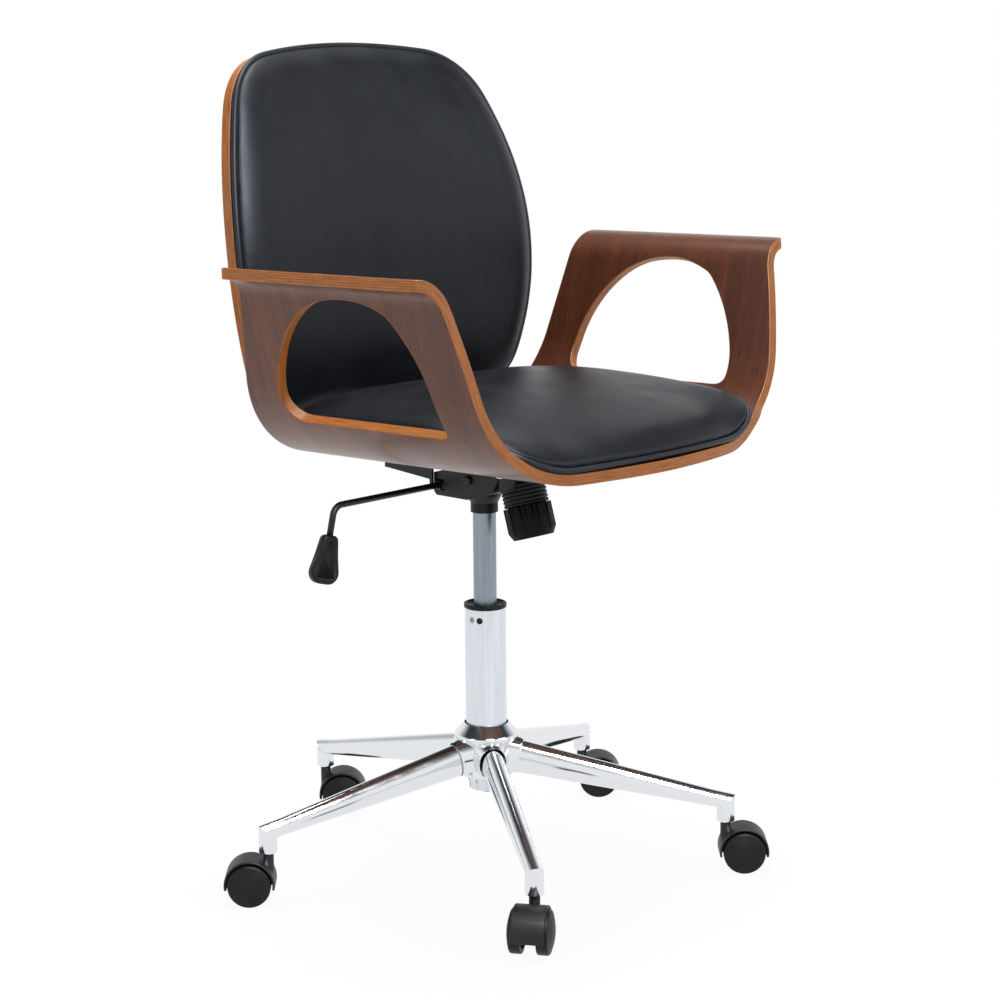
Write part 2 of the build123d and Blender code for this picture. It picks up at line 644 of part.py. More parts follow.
def lever_rod():
    """Bent steel rod from the rocker out to the grip."""
    inside = (ROCKER_IN_X - ROCKER_LIP - 2 * EPS, LEVER_Y, LEVER_Z)
    corner = (LEVER_BEND_X, LEVER_Y, LEVER_Z)
    end = (LEVER_END_X, LEVER_Y, LEVER_END_Z)
    path = FilletPolyline(inside, corner, end, radius=LEVER_BEND_R)
    return sweep(Plane(origin=inside, z_dir=(-1, 0, 0)) * Circle(LEVER_R), path=path)


def lever_grip():
    """Flat moulded paddle with a dished face, on the rod's lower end."""
    lean = math.atan2(LEVER_BEND_X - LEVER_END_X, LEVER_Z - LEVER_END_Z)
    down = Vector(-math.sin(lean), 0, -math.cos(lean))
    face = Plane(origin=(LEVER_END_X, LEVER_Y, LEVER_END_Z), x_dir=down, z_dir=(0, -1, 0))
    top, waist, low = GRIP_TOP_WIDTH / 2, GRIP_WAIST_WIDTH / 2, GRIP_LOW_WIDTH / 2
    base = GRIP_LENGTH - GRIP_ON_ROD
    middle = base * GRIP_WAIST
    outline = Polyline((-GRIP_ON_ROD, -top), (-GRIP_ON_ROD, top), (middle, waist), (base, low), (base, -low),
                       (middle, -waist), close=True)
    sketch = make_face(outline)
    sketch = fillet(sketch.vertices().sort_by(Axis.X)[-2:], GRIP_LOW_CORNER)
    sketch = fillet(sketch.vertices().sort_by(Axis.X)[:4], GRIP_CORNER)
    paddle = extrude(sketch, GRIP_THICK / 2, both=True)
    flats = paddle.faces().sort_by(Axis.Z)
    paddle = chamfer(flats[-1].edges() + flats[0].edges(), GRIP_EDGE)
    recess = extrude(make_face(offset(outline, -GRIP_CORNER)), 2 * GRIP_RECESS, both=True)
    for side in (-1, 1):
        paddle -= Pos(0, 0, side * (GRIP_THICK / 2 + GRIP_RECESS)) * recess
    paddle = face.location * Rot(GRIP_TWIST, 0, 0) * paddle
    return paddle - lever_rod()


# Seat

def seat_place():
    """Place of the seat's own frame in the chair."""
    return Pos(0, 0, SEAT_Z) * Rot(-SEAT_PITCH, 0, 0)


def bend_height(x, skin=0.0):
    """Height of the shell's surface over its underside's flat, on flat and bend."""
    reach = max(0.0, abs(x) - SEAT_FLAT_HALF)
    radius = SEAT_BEND_R - skin
    return skin + radius - math.sqrt(radius ** 2 - min(reach, radius) ** 2)


def arm_line():
    """Ends of the arm panel's straight stretch on its outer face, as (x, z)."""
    turn = math.radians(90.0 - ARM_LEAN)
    low = (SEAT_FLAT_HALF + SEAT_BEND_R * math.sin(turn), SEAT_BEND_R * (1 - math.cos(turn)))
    rise = ARM_TOP_Z - PLY - low[1] - ARM_ROLL_R * (1 - math.cos(turn))
    high = (low[0] + rise * math.tan(math.radians(ARM_LEAN)), low[1] + rise)
    return low, high


def arm_outer_x(z):
    """Outer face of the shell at a height, over the bend and the arm panel."""
    low, high = arm_line()
    if z <= low[1]:
        return SEAT_FLAT_HALF + math.sqrt(SEAT_BEND_R ** 2 - (SEAT_BEND_R - z) ** 2)
    return low[0] + (min(z, high[1]) - low[1]) * math.tan(math.radians(ARM_LEAN))


def shell_section():
    """Half of the bent section in the XZ plane, from the middle to the arm's edge."""
    turn = math.radians(90.0 - ARM_LEAN)
    half = turn / 2
    low, high = arm_line()
    inward = Vector(-math.sin(turn), 0, math.cos(turn))

    def bend(radius, angle):
        return (SEAT_FLAT_HALF + radius * math.sin(angle), 0, SEAT_BEND_R - radius * math.cos(angle))

    centre = Vector(high[0], 0, high[1]) - inward * ARM_ROLL_R

    def roll(radius, angle):
        return (centre.X - radius * math.sin(angle), 0, centre.Z + radius * math.cos(angle))

    inner_r = SEAT_BEND_R - PLY
    over_r = ARM_ROLL_R + PLY
    edge_x = centre.X + ARM_FLAT
    outer = [Line((0, 0, 0), (SEAT_FLAT_HALF, 0, 0)),
             ThreePointArc(bend(SEAT_BEND_R, 0), bend(SEAT_BEND_R, half), bend(SEAT_BEND_R, turn)),
             Line(bend(SEAT_BEND_R, turn), roll(ARM_ROLL_R, turn)),
             ThreePointArc(roll(ARM_ROLL_R, turn), roll(ARM_ROLL_R, half), roll(ARM_ROLL_R, 0)),
             Line(roll(ARM_ROLL_R, 0), (edge_x, 0, ARM_TOP_Z - PLY))]
    inner = [Line((edge_x, 0, ARM_TOP_Z), roll(over_r, 0)),
             ThreePointArc(roll(over_r, 0), roll(over_r, half), roll(over_r, turn)),
             Line(roll(over_r, turn), bend(inner_r, turn)),
             ThreePointArc(bend(inner_r, turn), bend(inner_r, half), bend(inner_r, 0)),
             Line(bend(inner_r, 0), (0, 0, PLY))]
    closing = [Line((edge_x, 0, ARM_TOP_Z - PLY), (edge_x, 0, ARM_TOP_Z)), Line((0, 0, PLY), (0, 0, 0))]
    return make_face(outer + inner + closing)


def seat_plan(edge_x):
    """Plan outline's half: bulging front, forward panels and rounded arm corners."""
    low, high = arm_line()
    front = [Spline((0, SEAT_FRONT_Y), (100, -277), (214, -249), tangents=((1, 0), (1, 0.2))),
             Line((214, -249), (low[0], -247)),
             Line((low[0], -247), (high[0], -228)),
             ThreePointArc((high[0], -228), (edge_x - 8, -214), (edge_x, -216 + ARM_CORNER)),
             Line((edge_x, -216 + ARM_CORNER), (edge_x + 4, 260)),
             Line((edge_x + 4, 260), (0, 260)),
             Line((0, 260), (0, SEAT_FRONT_Y))]
    return make_face(front)


def seat_side():
    """Side outline: the arm's receding front edge and the rear edge."""
    edges = [Line((0, -320, -20), (0, -320, 20)),
             Line((0, -320, 20), (0, -246, 40)),
             ThreePointArc((0, -246, 40), (0, -239, 104), (0, -217, 210)),
             Line((0, -217, 210), (0, -215, 260)),
             Line((0, -215, 260), (0, 90, 260)),
             ThreePointArc((0, 90, 260), (0, 124, 104), (0, SEAT_REAR_Y, -20)),
             Line((0, SEAT_REAR_Y, -20), (0, -320, -20))]
    return make_face(edges)


def window_cutter():
    """Slanted prism through the +X arm panel with the window's outline."""
    tilt = math.radians(WINDOW_TILT)

    def at(y, z):
        return (y, arm_outer_x(z) * math.sin(tilt) + z * math.cos(tilt))

    edges = [Line(at(44, 56), at(-170, 56)),
             ThreePointArc(at(-170, 56), at(-178, 58.5), at(-181, 66)),
             ThreePointArc(at(-181, 66), at(-168, 132), at(-130, 190)),
             ThreePointArc(at(-130, 190), at(-64, 206), at(0, 190)),
             ThreePointArc(at(0, 190), at(52, 140), at(72, 84)),
             ThreePointArc(at(72, 84), at(66, 64), at(44, 56))]
    plane = Plane(origin=(0, 0, 0), x_dir=(0, 1, 0), z_dir=(math.cos(tilt), 0, -math.sin(tilt)))
    prism = extrude(plane * make_face(edges), FAR)
    return prism & block(SEAT_FLAT_HALF, FAR, -FAR, FAR, 0, FAR)


def seat_shell():
    """Bent plywood seat with its armrests, and its three kinds of screw holes."""
    section = shell_section()
    edge_x = section.bounding_box().max.X
    half = extrude(section, FAR, both=True)
    half &= extrude(seat_plan(edge_x), FAR, both=True)
    half &= extrude(seat_side(), FAR, both=True)
    half -= window_cutter()
    shell = half + mirror(half, about=Plane.YZ)
    for x, y, radius in seat_holes():
        shell -= Pos(x, y, 0) * drum(radius, -PLY, 2 * PLY)
    return seat_place() * shell


def seat_holes():
    """Holes through the seat as (x, y, radius): pad screws, plate bolts, strap bolts."""
    holes = []
    for side in (-1, 1):
        holes += [(side * PAD_SCREW_X, y, PAD_SCREW_R) for y in PAD_SCREW_YS]
        holes += [(side * PLATE_BOLT_X, y, PLATE_BOLT_R) for y in PLATE_BOLT_YS]
        holes += [(side * STRAP_X, y, STRAP_BOLT_R) for y in STRAP_SEAT_BOLT_YS]
    return holes


def pad_stations(half):
    """Stations along X, closer towards the rounded ends."""
    steps, reach = 7, 0.94
    return [half * math.sin(math.pi / 2 * reach * k / steps) for k in range(-steps, steps + 1)]


def seat_pad_section(x):
    """Section of the seat pad in a plane of constant X."""
    share = min(1.0, abs(x) / SEAT_PAD_HALF)
    reach = SEAT_PAD_FRONT + SEAT_PAD_FRONT_SWEEP * share ** 2 - SEAT_PAD_CORNER_Y
    front = SEAT_PAD_CORNER_Y + reach * math.sqrt(1 - share ** 20)
    rear = SEAT_PAD_REAR_CORNER_Y + (SEAT_PAD_REAR - SEAT_PAD_REAR_CORNER_Y) * math.sqrt(1 - share ** 5)
    base = bend_height(x, PLY) - 2 * EPS
    top = SEAT_PAD_SIDE_Z + (SEAT_PAD_CROWN_Z - SEAT_PAD_SIDE_Z) * (1 - share ** 2)
    edge = SEAT_PAD_EDGE + (SEAT_PAD_SIDE_EDGE - SEAT_PAD_EDGE) * share ** 4
    front_top = bend_height(x, PLY) + edge
    rear_top = max(front_top, SEAT_PAD_SIDE_Z - SEAT_PAD_REAR_DROP)
    middle = (front + rear) / 2
    edges = [Line((x, front, base), (x, rear, base)),
             Line((x, rear, base), (x, rear - 4, rear_top)),
             ThreePointArc((x, rear - 4, rear_top), (x, middle, top), (x, front + 5, front_top)),
             Line((x, front + 5, front_top), (x, front, base))]
    return make_face(edges)


def shell_hollow():
    """Space above the shell's inner face plus the pad's gap."""
    lift = PLY + PAD_GAP
    radius = SEAT_BEND_R - lift
    reach = SEAT_FLAT_HALF + radius
    turn = radius * math.sqrt(0.5)
    edges = [Line((0, 0, lift), (SEAT_FLAT_HALF, 0, lift)),
             ThreePointArc((SEAT_FLAT_HALF, 0, lift), (SEAT_FLAT_HALF + turn, 0, SEAT_BEND_R - turn),
                           (reach, 0, SEAT_BEND_R)),
             Line((reach, 0, SEAT_BEND_R), (0, 0, SEAT_BEND_R)),
             Line((0, 0, SEAT_BEND_R), (0, 0, lift))]
    half = extrude(make_face(edges), FAR, both=True)
    return half + mirror(half, about=Plane.YZ)


def seat_board_blank():
    """Board in the pad's underside that the pad screws bite into."""
    top = BOARD_Z + BOARD_THICK
    board = block(-BOARD_HALF_X, BOARD_HALF_X, BOARD_FRONT, BOARD_REAR, BOARD_Z, top)
    board = fillet(board.edges().filter_by(Axis.Z), BOARD_CORNER)
    for x in (-1, 1):
        for y in PAD_SCREW_YS:
            board -= Pos(x * PAD_SCREW_X, y, 0) * drum(PAD_SCREW_R, BOARD_Z - EPS, top + EPS)
    return board


def seat_pad(board):
    """Foam pad in its cover, crowned, resting in the shell."""
    pad = loft([seat_pad_section(x) for x in pad_stations(SEAT_PAD_HALF)]) & shell_hollow()
    reach, front, rear = BOARD_HALF_X - BOARD_CORNER, BOARD_FRONT + BOARD_CORNER, BOARD_REAR - BOARD_CORNER
    pocket = board + block(-reach, reach, front, rear, PLY, BOARD_Z + EPS)
    for x in (-1, 1):
        for y in PAD_SCREW_YS:
            pocket += Pos(x * PAD_SCREW_X, y, 0) * drum(2 * PAD_SCREW_R, PLY - EPS, BOARD_Z + BOARD_THICK)
    return seat_place() * (pad - pocket)


def pad_screws():
    """Chromed dome-head screws from below, through the shell into the board."""
    solids = []
    for x in (-1, 1):
        for y in PAD_SCREW_YS:
            screw = dome_screw(*PAD_SCREW_HEAD, PAD_SCREW_R, BOARD_Z + BOARD_THICK - EPS)
            solids.append(seat_place() * Pos(x * PAD_SCREW_X, y, 0) * screw)
    return Compound(children=solids)


def plate_bolts():
    """Bolts from below through the seat plate, with nuts let into the seat."""
    solids = []
    for x in (-1, 1):
        for y in PLATE_BOLT_YS:
            shank = drum(PLATE_BOLT_R, -PLATE_THICK, PLY - EPS)
            head = extrude(Pos(0, 0, -PLATE_THICK) * RegularPolygon(PLATE_BOLT_HEAD_R, 6), -PLATE_BOLT_HEAD)
            solids.append(seat_place() * Pos(x * PLATE_BOLT_X, y, 0) * (shank + head))
    return Compound(children=solids)


# Back

def back_arc():
    """Front face of the back in the middle plane, as an arc in Y and Z."""
    return ThreePointArc(*[(0, y, z) for y, z in BACK_SIDE_ARC])


def back_circle():
    """Centre (y, z) and radius of the back's side arc."""
    arc = back_arc()
    centre = arc.arc_center
    return centre.Y, centre.Z, arc.radius


def back_front_y(x, z):
    """Front face of the back shell at a place across it and a height."""
    cy, cz, radius = back_circle()
    middle = cy + math.copysign(math.sqrt(radius ** 2 - (z - cz) ** 2), BACK_SIDE_ARC[1][0] - cy)
    axis = BACK_SIDE_ARC[1][0] - BACK_BEND_R
    return axis + math.sqrt((middle - axis) ** 2 - x ** 2)


def back_slab(front, rear):
    """Curved slab between two depths behind the front face, bent round an upright axis."""
    cy, cz, radius = back_circle()
    sign = math.copysign(1.0, BACK_SIDE_ARC[1][0] - cy)

    def curve(depth):
        reach = radius + sign * depth
        return [(0, cy + sign * math.sqrt(reach ** 2 - (z - cz) ** 2), z) for y, z in BACK_SIDE_ARC]

    near, far = curve(front), curve(rear)
    edges = [ThreePointArc(*near), Line(near[-1], far[-1]),
             ThreePointArc(*reversed(far)), Line(far[0], near[0])]
    axis = Axis((0, BACK_SIDE_ARC[1][0] - BACK_BEND_R, 0), (0, 0, 1))
    span = 2 * math.degrees(math.asin(BACK_WIDEST[0] / BACK_BEND_R)) + 6.0
    return revolve(make_face(edges).rotate(axis, -span / 2), axis, span)


def back_outline(inset=0.0):
    """Front outline in X and Z: narrower above, widest at arm height, drawn in below."""
    sx, sz = BACK_SHOULDER
    wx, wz = BACK_WIDEST
    fx, fz = BACK_FOOT
    edges = [ThreePointArc((-sx, 0, sz), (0, 0, BACK_TOP_Z), (sx, 0, sz)),
             ThreePointArc((sx, 0, sz), (wx, 0, wz), (fx, 0, fz)),
             Line((fx, 0, fz), (-fx, 0, fz)),
             ThreePointArc((-fx, 0, fz), (-wx, 0, wz), (-sx, 0, sz))]
    face = make_face(edges)
    corners = face.vertices().sort_by(Axis.Z)
    face = fillet(corners[-2:], BACK_TOP_CORNER_R)
    corners = [v for v in face.vertices() if abs(v.Z - fz) < 0.1]
    face = fillet(corners, BACK_FOOT_CORNER_R)
    return offset(face, -inset) if inset else face


def strap_bolt_places():
    """Places of the strap bolts in the back, as (x, z)."""
    return [(side * STRAP_X, z) for side in (-1, 1) for z in STRAP_BACK_BOLT_ZS]


def back_shell():
    """Bent plywood back with the strap bolts' holes."""
    shell = back_slab(0.0, BACK_PLY) & extrude(back_outline(), FAR, both=True)
    for x, z in strap_bolt_places():
        shell -= bar((x, 0, z), (x, FAR, z), STRAP_BOLT_R)
    return shell


def back_pad():
    """Pad on the back's front face, crowned both ways, with its front edge rounded over."""
    depths = (BACK_PAD_EDGE, BACK_PAD_CROWN, BACK_PAD_EDGE)
    near = [(0, y - depth, z) for (y, z), depth in zip(BACK_SIDE_ARC, depths)]
    foot, middle, top = near
    behind = [(0, top[1] + 2 * STRAP_WIDTH, z) for z in (top[2], foot[2])]
    edges = [ThreePointArc(*near), Line(top, behind[0]), Line(behind[0], behind[1]), Line(behind[1], foot)]
    axis = Axis((0, middle[1] - BACK_PAD_BEND_R, 0), (0, 0, 1))
    span = 2 * math.degrees(math.asin(BACK_WIDEST[0] / BACK_PAD_BEND_R)) + 4.0
    crowned = revolve(make_face(edges).rotate(axis, -span / 2), axis, span)
    plan = extrude(back_outline(BACK_PAD_INSET), FAR, both=True)
    pad = crowned & plan & back_slab(-4 * BACK_PAD_CROWN, -PAD_GAP)
    front = pad.faces().sort_by(SortBy.AREA)[-2:].sort_by(Axis.Y)[0]
    return fillet(front.edges(), BACK_PAD_ROUND)


def strap_line():
    """Rear face of the back where a strap's upright leg bears, as two (y, z) points."""
    inner_x = STRAP_X - STRAP_WIDTH / 2
    return [(back_front_y(inner_x, z) + BACK_PLY + STRAP_STAND_OFF, z) for z in (STRAP_LOW_Z, STRAP_TOP_Z)]


def back_strap(side):
    """Bent flat steel strap from the seat's underside up the rear of the back."""
    place = seat_place()
    start = place * Pos(0, STRAP_FRONT_Y, -STRAP_THICK / 2)
    (y_low, z_low), (y_top, z_top) = strap_line()
    lean = (y_top - y_low) / (z_top - z_low)
    shift = STRAP_THICK / 2 + STRAP_STAND_OFF / 2
    pitch = math.radians(SEAT_PITCH)
    fall = math.tan(pitch)
    level = SEAT_Z - STRAP_THICK / 2 / math.cos(pitch)
    foot_z = (level - fall * (y_low + shift - lean * z_low)) / (1 + fall * lean)
    corner = (0, y_low + shift - lean * (z_low - foot_z), foot_z)
    path = FilletPolyline((0, start.position.Y, start.position.Z), corner, (0, y_top + shift, z_top),
                          radius=STRAP_BEND_R)
    begin = Plane(origin=path @ 0, x_dir=(1, 0, 0), z_dir=path % 0)
    strap = Pos(side * STRAP_X, 0, 0) * sweep(begin * Rectangle(STRAP_WIDTH, STRAP_THICK), path=path)
    for y in STRAP_SEAT_BOLT_YS:
        strap -= place * Pos(side * STRAP_X, y, 0) * drum(STRAP_BOLT_R, -PLY, PLY)
    for x, z in strap_bolt_places():
        strap -= bar((x, 0, z), (x, FAR, z), STRAP_BOLT_R)
    return strap


def strap_bolts():
    """Dome-head bolts through the straps into the seat and the back."""
    solids = []
    for side in (-1, 1):
        for y in STRAP_SEAT_BOLT_YS:
            bolt = dome_screw(*STRAP_BOLT_HEAD, STRAP_BOLT_R, STRAP_THICK + PLY - 2 * EPS)
            solids.append(seat_place() * Pos(side * STRAP_X, y, -STRAP_THICK - RUN_CLEARANCE) * bolt)
    (y_low, z_low), (y_top, z_top) = strap_line()
    for x, z in strap_bolt_places():
        rear = y_low + (y_top - y_low) * (z - z_low) / (z_top - z_low) + STRAP_THICK + STRAP_BOLT_RISE
        inner = back_front_y(x, z) + 2 * EPS
        bolt = dome_screw(*STRAP_BOLT_HEAD, STRAP_BOLT_R, rear - inner)
        solids.append(Plane(origin=(x, rear, z), x_dir=(1, 0, 0), z_dir=(0, -1, 0)).location * bolt)
    return Compound(children=solids)


def build_nodes():
    """Every piece of the chair by its node's name."""
    hub = base_hub()
    leg, socket = leg_blank(hub), socket_blank()
    board = seat_board_blank()
    nodes = {
        "base_hub": hub, "column_tube": column_tube(), "guide_bush": guide_bush(),
        "thrust_bearing": thrust_bearing(), "piston_rod": piston_rod(), "rod_clip": rod_clip(),
        "gas_cylinder": gas_cylinder(), "release_pin": release_pin(), "taper_socket": taper_socket(),
        "column_ring": column_ring(), "mechanism_housing": mechanism_housing(), "pivot_pin": pivot_pin(),
        "seat_plate": seat_plate(), "spring_cup": spring_cup(), "tension_spring": tension_spring(),
        "tension_bolt": tension_bolt(), "tension_knob": tension_knob(), "lever_rocker": lever_rocker(),
        "lever_rod": lever_rod(), "lever_grip": lever_grip(), "seat_shell": seat_shell(),
        "seat_board": seat_place() * board, "seat_pad": seat_pad(board), "pad_screws": pad_screws(),
        "plate_bolts": plate_bolts(), "back_shell": back_shell(), "back_pad": back_pad(),
        "back_straps": Compound(children=[back_strap(-1), back_strap(1)]), "strap_bolts": strap_bolts(),
    }
    hood, stem, axle = caster_hood(), caster_stem(), caster_axle()
    wheels = {"a": caster_wheel(-1), "b": caster_wheel(1)}
    sockets = []
    for k in range(LEG_COUNT):
        angle = FIRST_LEG_ANGLE + k * 360.0 / LEG_COUNT
        nodes[f"base_leg_{k + 1}"] = Rot(0, 0, angle) * leg
        sockets.append(Rot(0, 0, angle) * socket)
        reach = math.radians(angle)
        centre = Pos(SOCKET_CIRCLE_R * math.cos(reach), SOCKET_CIRCLE_R * math.sin(reach), 0)
        place = centre * Rot(0, 0, CASTER_HEADINGS[k])
        nodes[f"caster_{k + 1}_hood"] = place * hood
        nodes[f"caster_{k + 1}_stem"] = place * stem
        nodes[f"caster_{k + 1}_axle"] = place * axle
        for name, wheel in wheels.items():
            nodes[f"caster_{k + 1}_wheel_{name}"] = place * wheel
    nodes["leg_sockets"] = Compound(children=sockets)
    return nodes


os.makedirs("parts", exist_ok=True)
for node, shape in build_nodes().items():
    export_step(shape, f"parts/{node}.step")
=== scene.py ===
import json
import math
import bmesh
import bpy
import numpy as np
from mathutils import Matrix, Vector
from mathutils.geometry import delaunay_2d_cdt


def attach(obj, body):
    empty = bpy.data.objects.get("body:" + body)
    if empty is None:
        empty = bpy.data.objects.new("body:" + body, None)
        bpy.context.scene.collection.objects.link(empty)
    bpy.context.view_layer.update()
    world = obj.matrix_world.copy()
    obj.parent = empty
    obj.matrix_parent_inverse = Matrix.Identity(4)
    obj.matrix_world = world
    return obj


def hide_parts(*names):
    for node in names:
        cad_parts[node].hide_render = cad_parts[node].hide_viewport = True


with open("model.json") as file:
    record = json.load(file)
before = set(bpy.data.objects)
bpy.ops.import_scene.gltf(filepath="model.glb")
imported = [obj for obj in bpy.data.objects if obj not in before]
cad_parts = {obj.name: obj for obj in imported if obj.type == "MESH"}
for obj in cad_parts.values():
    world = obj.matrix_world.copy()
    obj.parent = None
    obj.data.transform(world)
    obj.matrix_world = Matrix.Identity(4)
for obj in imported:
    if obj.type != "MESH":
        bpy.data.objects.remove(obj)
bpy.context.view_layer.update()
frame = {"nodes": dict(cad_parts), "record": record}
nodes = frame["nodes"]
scene = bpy.context.scene
scene.view_settings.view_transform = "Standard"
MM = 0.001
# Turns in degrees from which an edge of a formed skin, or of a solid's copy, stays sharp
FORM_SHARP, SOLID_SHARP = 32.0, 28.0

# Seat shell, in its own frame: origin on the underside over the column, millimetres
SEAT_Z, SEAT_PITCH = 518.5, 1.2
PLY = 13.0
FLAT_HALF, BEND_R = 130.0, 136.0
ARM_TURN = math.radians(90.0 - 13.3)
ARM_TOP, ROLL_R, ARM_FLAT = 235.5, 29.5, 4.0
EDGE_ROUND = 1.3
# Front edge: (across, forward, slope) over the seat, then forward at the arm panel's foot and top,
# then (inset, forward) at the arm's tip
FRONT_KNOTS = ((0, -288, 0), (100, -277, 0.19), (214, -249, 0.2))
ARM_FRONT, ARM_TIP = (-247, -228), ((8, -214), (0, -182))
# Lean of the arm panels' edges: the height it starts at, the place there, its slope and its curve
FRONT_LEAN, REAR_LEAN = (40, -246, 0.0724, 5.775e-4), (-20, 152, -0.2293, 2.807e-5)
# Arm window's outline: arcs through (back, up) points, closed by a straight sill
WINDOW_ARCS = (((-170, 56), (-178, 58.5), (-181, 66)), ((-181, 66), (-168, 132), (-130, 190)),
               ((-130, 190), (-64, 206), (0, 190)), ((0, 190), (52, 140), (72, 84)),
               ((72, 84), (66, 64), (44, 56)))

# Back shell, in the chair's frame
BACK_PLY, BACK_BEND_R = 12.0, 750.0
BACK_SIDE = ((190.0, 551.5), (203.5, 795.5), (249.0, 995.5))
BACK_TOP, BACK_SHOULDER = 991.5, (184.0, 974.5)
BACK_WIDEST, BACK_FOOT = (246.0, 737.5), (199.0, 555.5)
BACK_CORNERS = (98.0, 70.0)

# Pads: the seat's border is in the seat's frame, depths are from the shells' faces
PAD_HALF, PAD_FRONT, PAD_REAR = 220.0, -281.0, 157.0
FRONT_CORNER, REAR_CORNER, FRONT_SWEEP = -165.0, 60.0, 36.0
SEAT_CROWN, SEAT_SIDE = 80.0, 73.0
NOSE_RISE, NOSE_DROP = 25.0, 8.0
BACK_PAD_EDGE, BACK_PAD_CROWN, BACK_PAD_BEND_R = 24.0, 36.0, 980.0
PIPING_R, SEAT_PIPING_RISE, SEAT_PIPING_DROP, BACK_PIPING_RISE = 3.3, 4.4, 0.9, 5.0
# Piping's distance inside the back's outline, by height
BACK_INSET = ((690.0, 800.0, 900.0, 960.0), (0.0, 0.8, 1.9, 1.7))
# Pads' rounded borders: width, bulge over the seam and fullness
SEAT_ROLL, BACK_ROLL = (28.0, 4.5, 2.4), (26.0, 1.2, 1.7)
# Room left for the swelling, gap at the glue, and the middles of the pads' grids
SWELL_ROOM, GLUE_GAP = 2.0, 0.6
SEAT_PAD_MIDDLE, BACK_PAD_MIDDLE = (0.0, -62.0), (0.0, 770.5)
# Pads' grids: rings, how much finer they get outwards, rings that keep the border's shape, rounds of evening
GRID_HALF, GRID_FINER, GRID_RIM, GRID_ROUNDS = 30, 0.85, 6, 60
# Cloth simulation: frames, furthest move in metres, rounds of evening
SWELL_FRAMES, SWELL_CAP, SWELL_ROUNDS = 20, 0.004, 30

# Base and column, in the chair's frame
LEG_TURNS = [math.radians(90.0 + 72.0 * k) for k in range(5)]
LEG_ROOT, LEG_TIP, LEG_END = (18.0, 139.5), (293.0, 86.5), 276.0
LEG_ROOT_SIZE, LEG_TIP_SIZE = (29.0, 43.0), (21.0, 19.0)
MITRE_LOW, MITRE_HIGH = 78.5, 94.5
SOCKET_R, SOCKET_LOW = 11.0, 61.5
TUBE_R, TUBE_BORE_R, TUBE_TOP, STUD_Z = 25.0, 23.0, 323.0, 310.0


def place_camera():
    """Camera at the photograph's viewing angle."""
    azimuth, down, roll = math.radians(-46.6), math.radians(11.15), math.radians(-0.47)
    back = Vector((math.sin(azimuth) * math.cos(down), -math.cos(azimuth) * math.cos(down), math.sin(down)))
    level = Vector((math.cos(azimuth), math.sin(azimuth), 0.0))
    right = level * math.cos(roll) + back.cross(level) * math.sin(roll)
    camera = bpy.data.objects.new("photo_camera", bpy.data.cameras.new("photo_camera"))
    scene.collection.objects.link(camera)
    camera.data.sensor_width = 36.0
    camera.data.lens = 88.29
    camera.data.clip_end = 200.0
    axes = Matrix((right, back.cross(right), back)).transposed().to_4x4()
    camera.matrix_world = Matrix.Translation((-2.0891, -2.0016, 1.0241)) @ axes
    scene.camera = camera


place_camera()


# Materials

def tone(code):
    """sRGB hex to linear colour."""
    parts = [int(code[k:k + 2], 16) / 255 for k in (1, 3, 5)]
    return [p / 12.92 if p <= 0.04045 else ((p + 0.055) / 1.055) ** 2.4 for p in parts] + [1.0]


def add(tree, kind, ins=None, stops=None, **sets):
    """Adds a node with its settings, colour stops and links, from a socket or a node's first output."""
    node = tree.nodes.new("ShaderNode" + kind)
    for name, value in sets.items():
        setattr(node, name, value)
    for k, (place, code) in enumerate(stops or ()):
        ramp = node.color_ramp.elements
        element = ramp[k] if k < 2 else ramp.new(place)
        element.position, element.color = place, tone(code)
    for key, value in (ins or {}).items():
        if isinstance(value, bpy.types.Node):
            value = value.outputs[0]
        if isinstance(value, bpy.types.NodeSocket):
            tree.links.new(value, node.inputs[key])
        else:
            node.inputs[key].default_value = value
    return node


def finish(name, build):
    """New material whose surface is the shader that build makes."""
    material = bpy.data.materials.new(name)
    material.use_nodes = True
    tree = material.node_tree
    tree.nodes.clear()
    add(tree, "OutputMaterial", {"Surface": build(tree)})
    return material


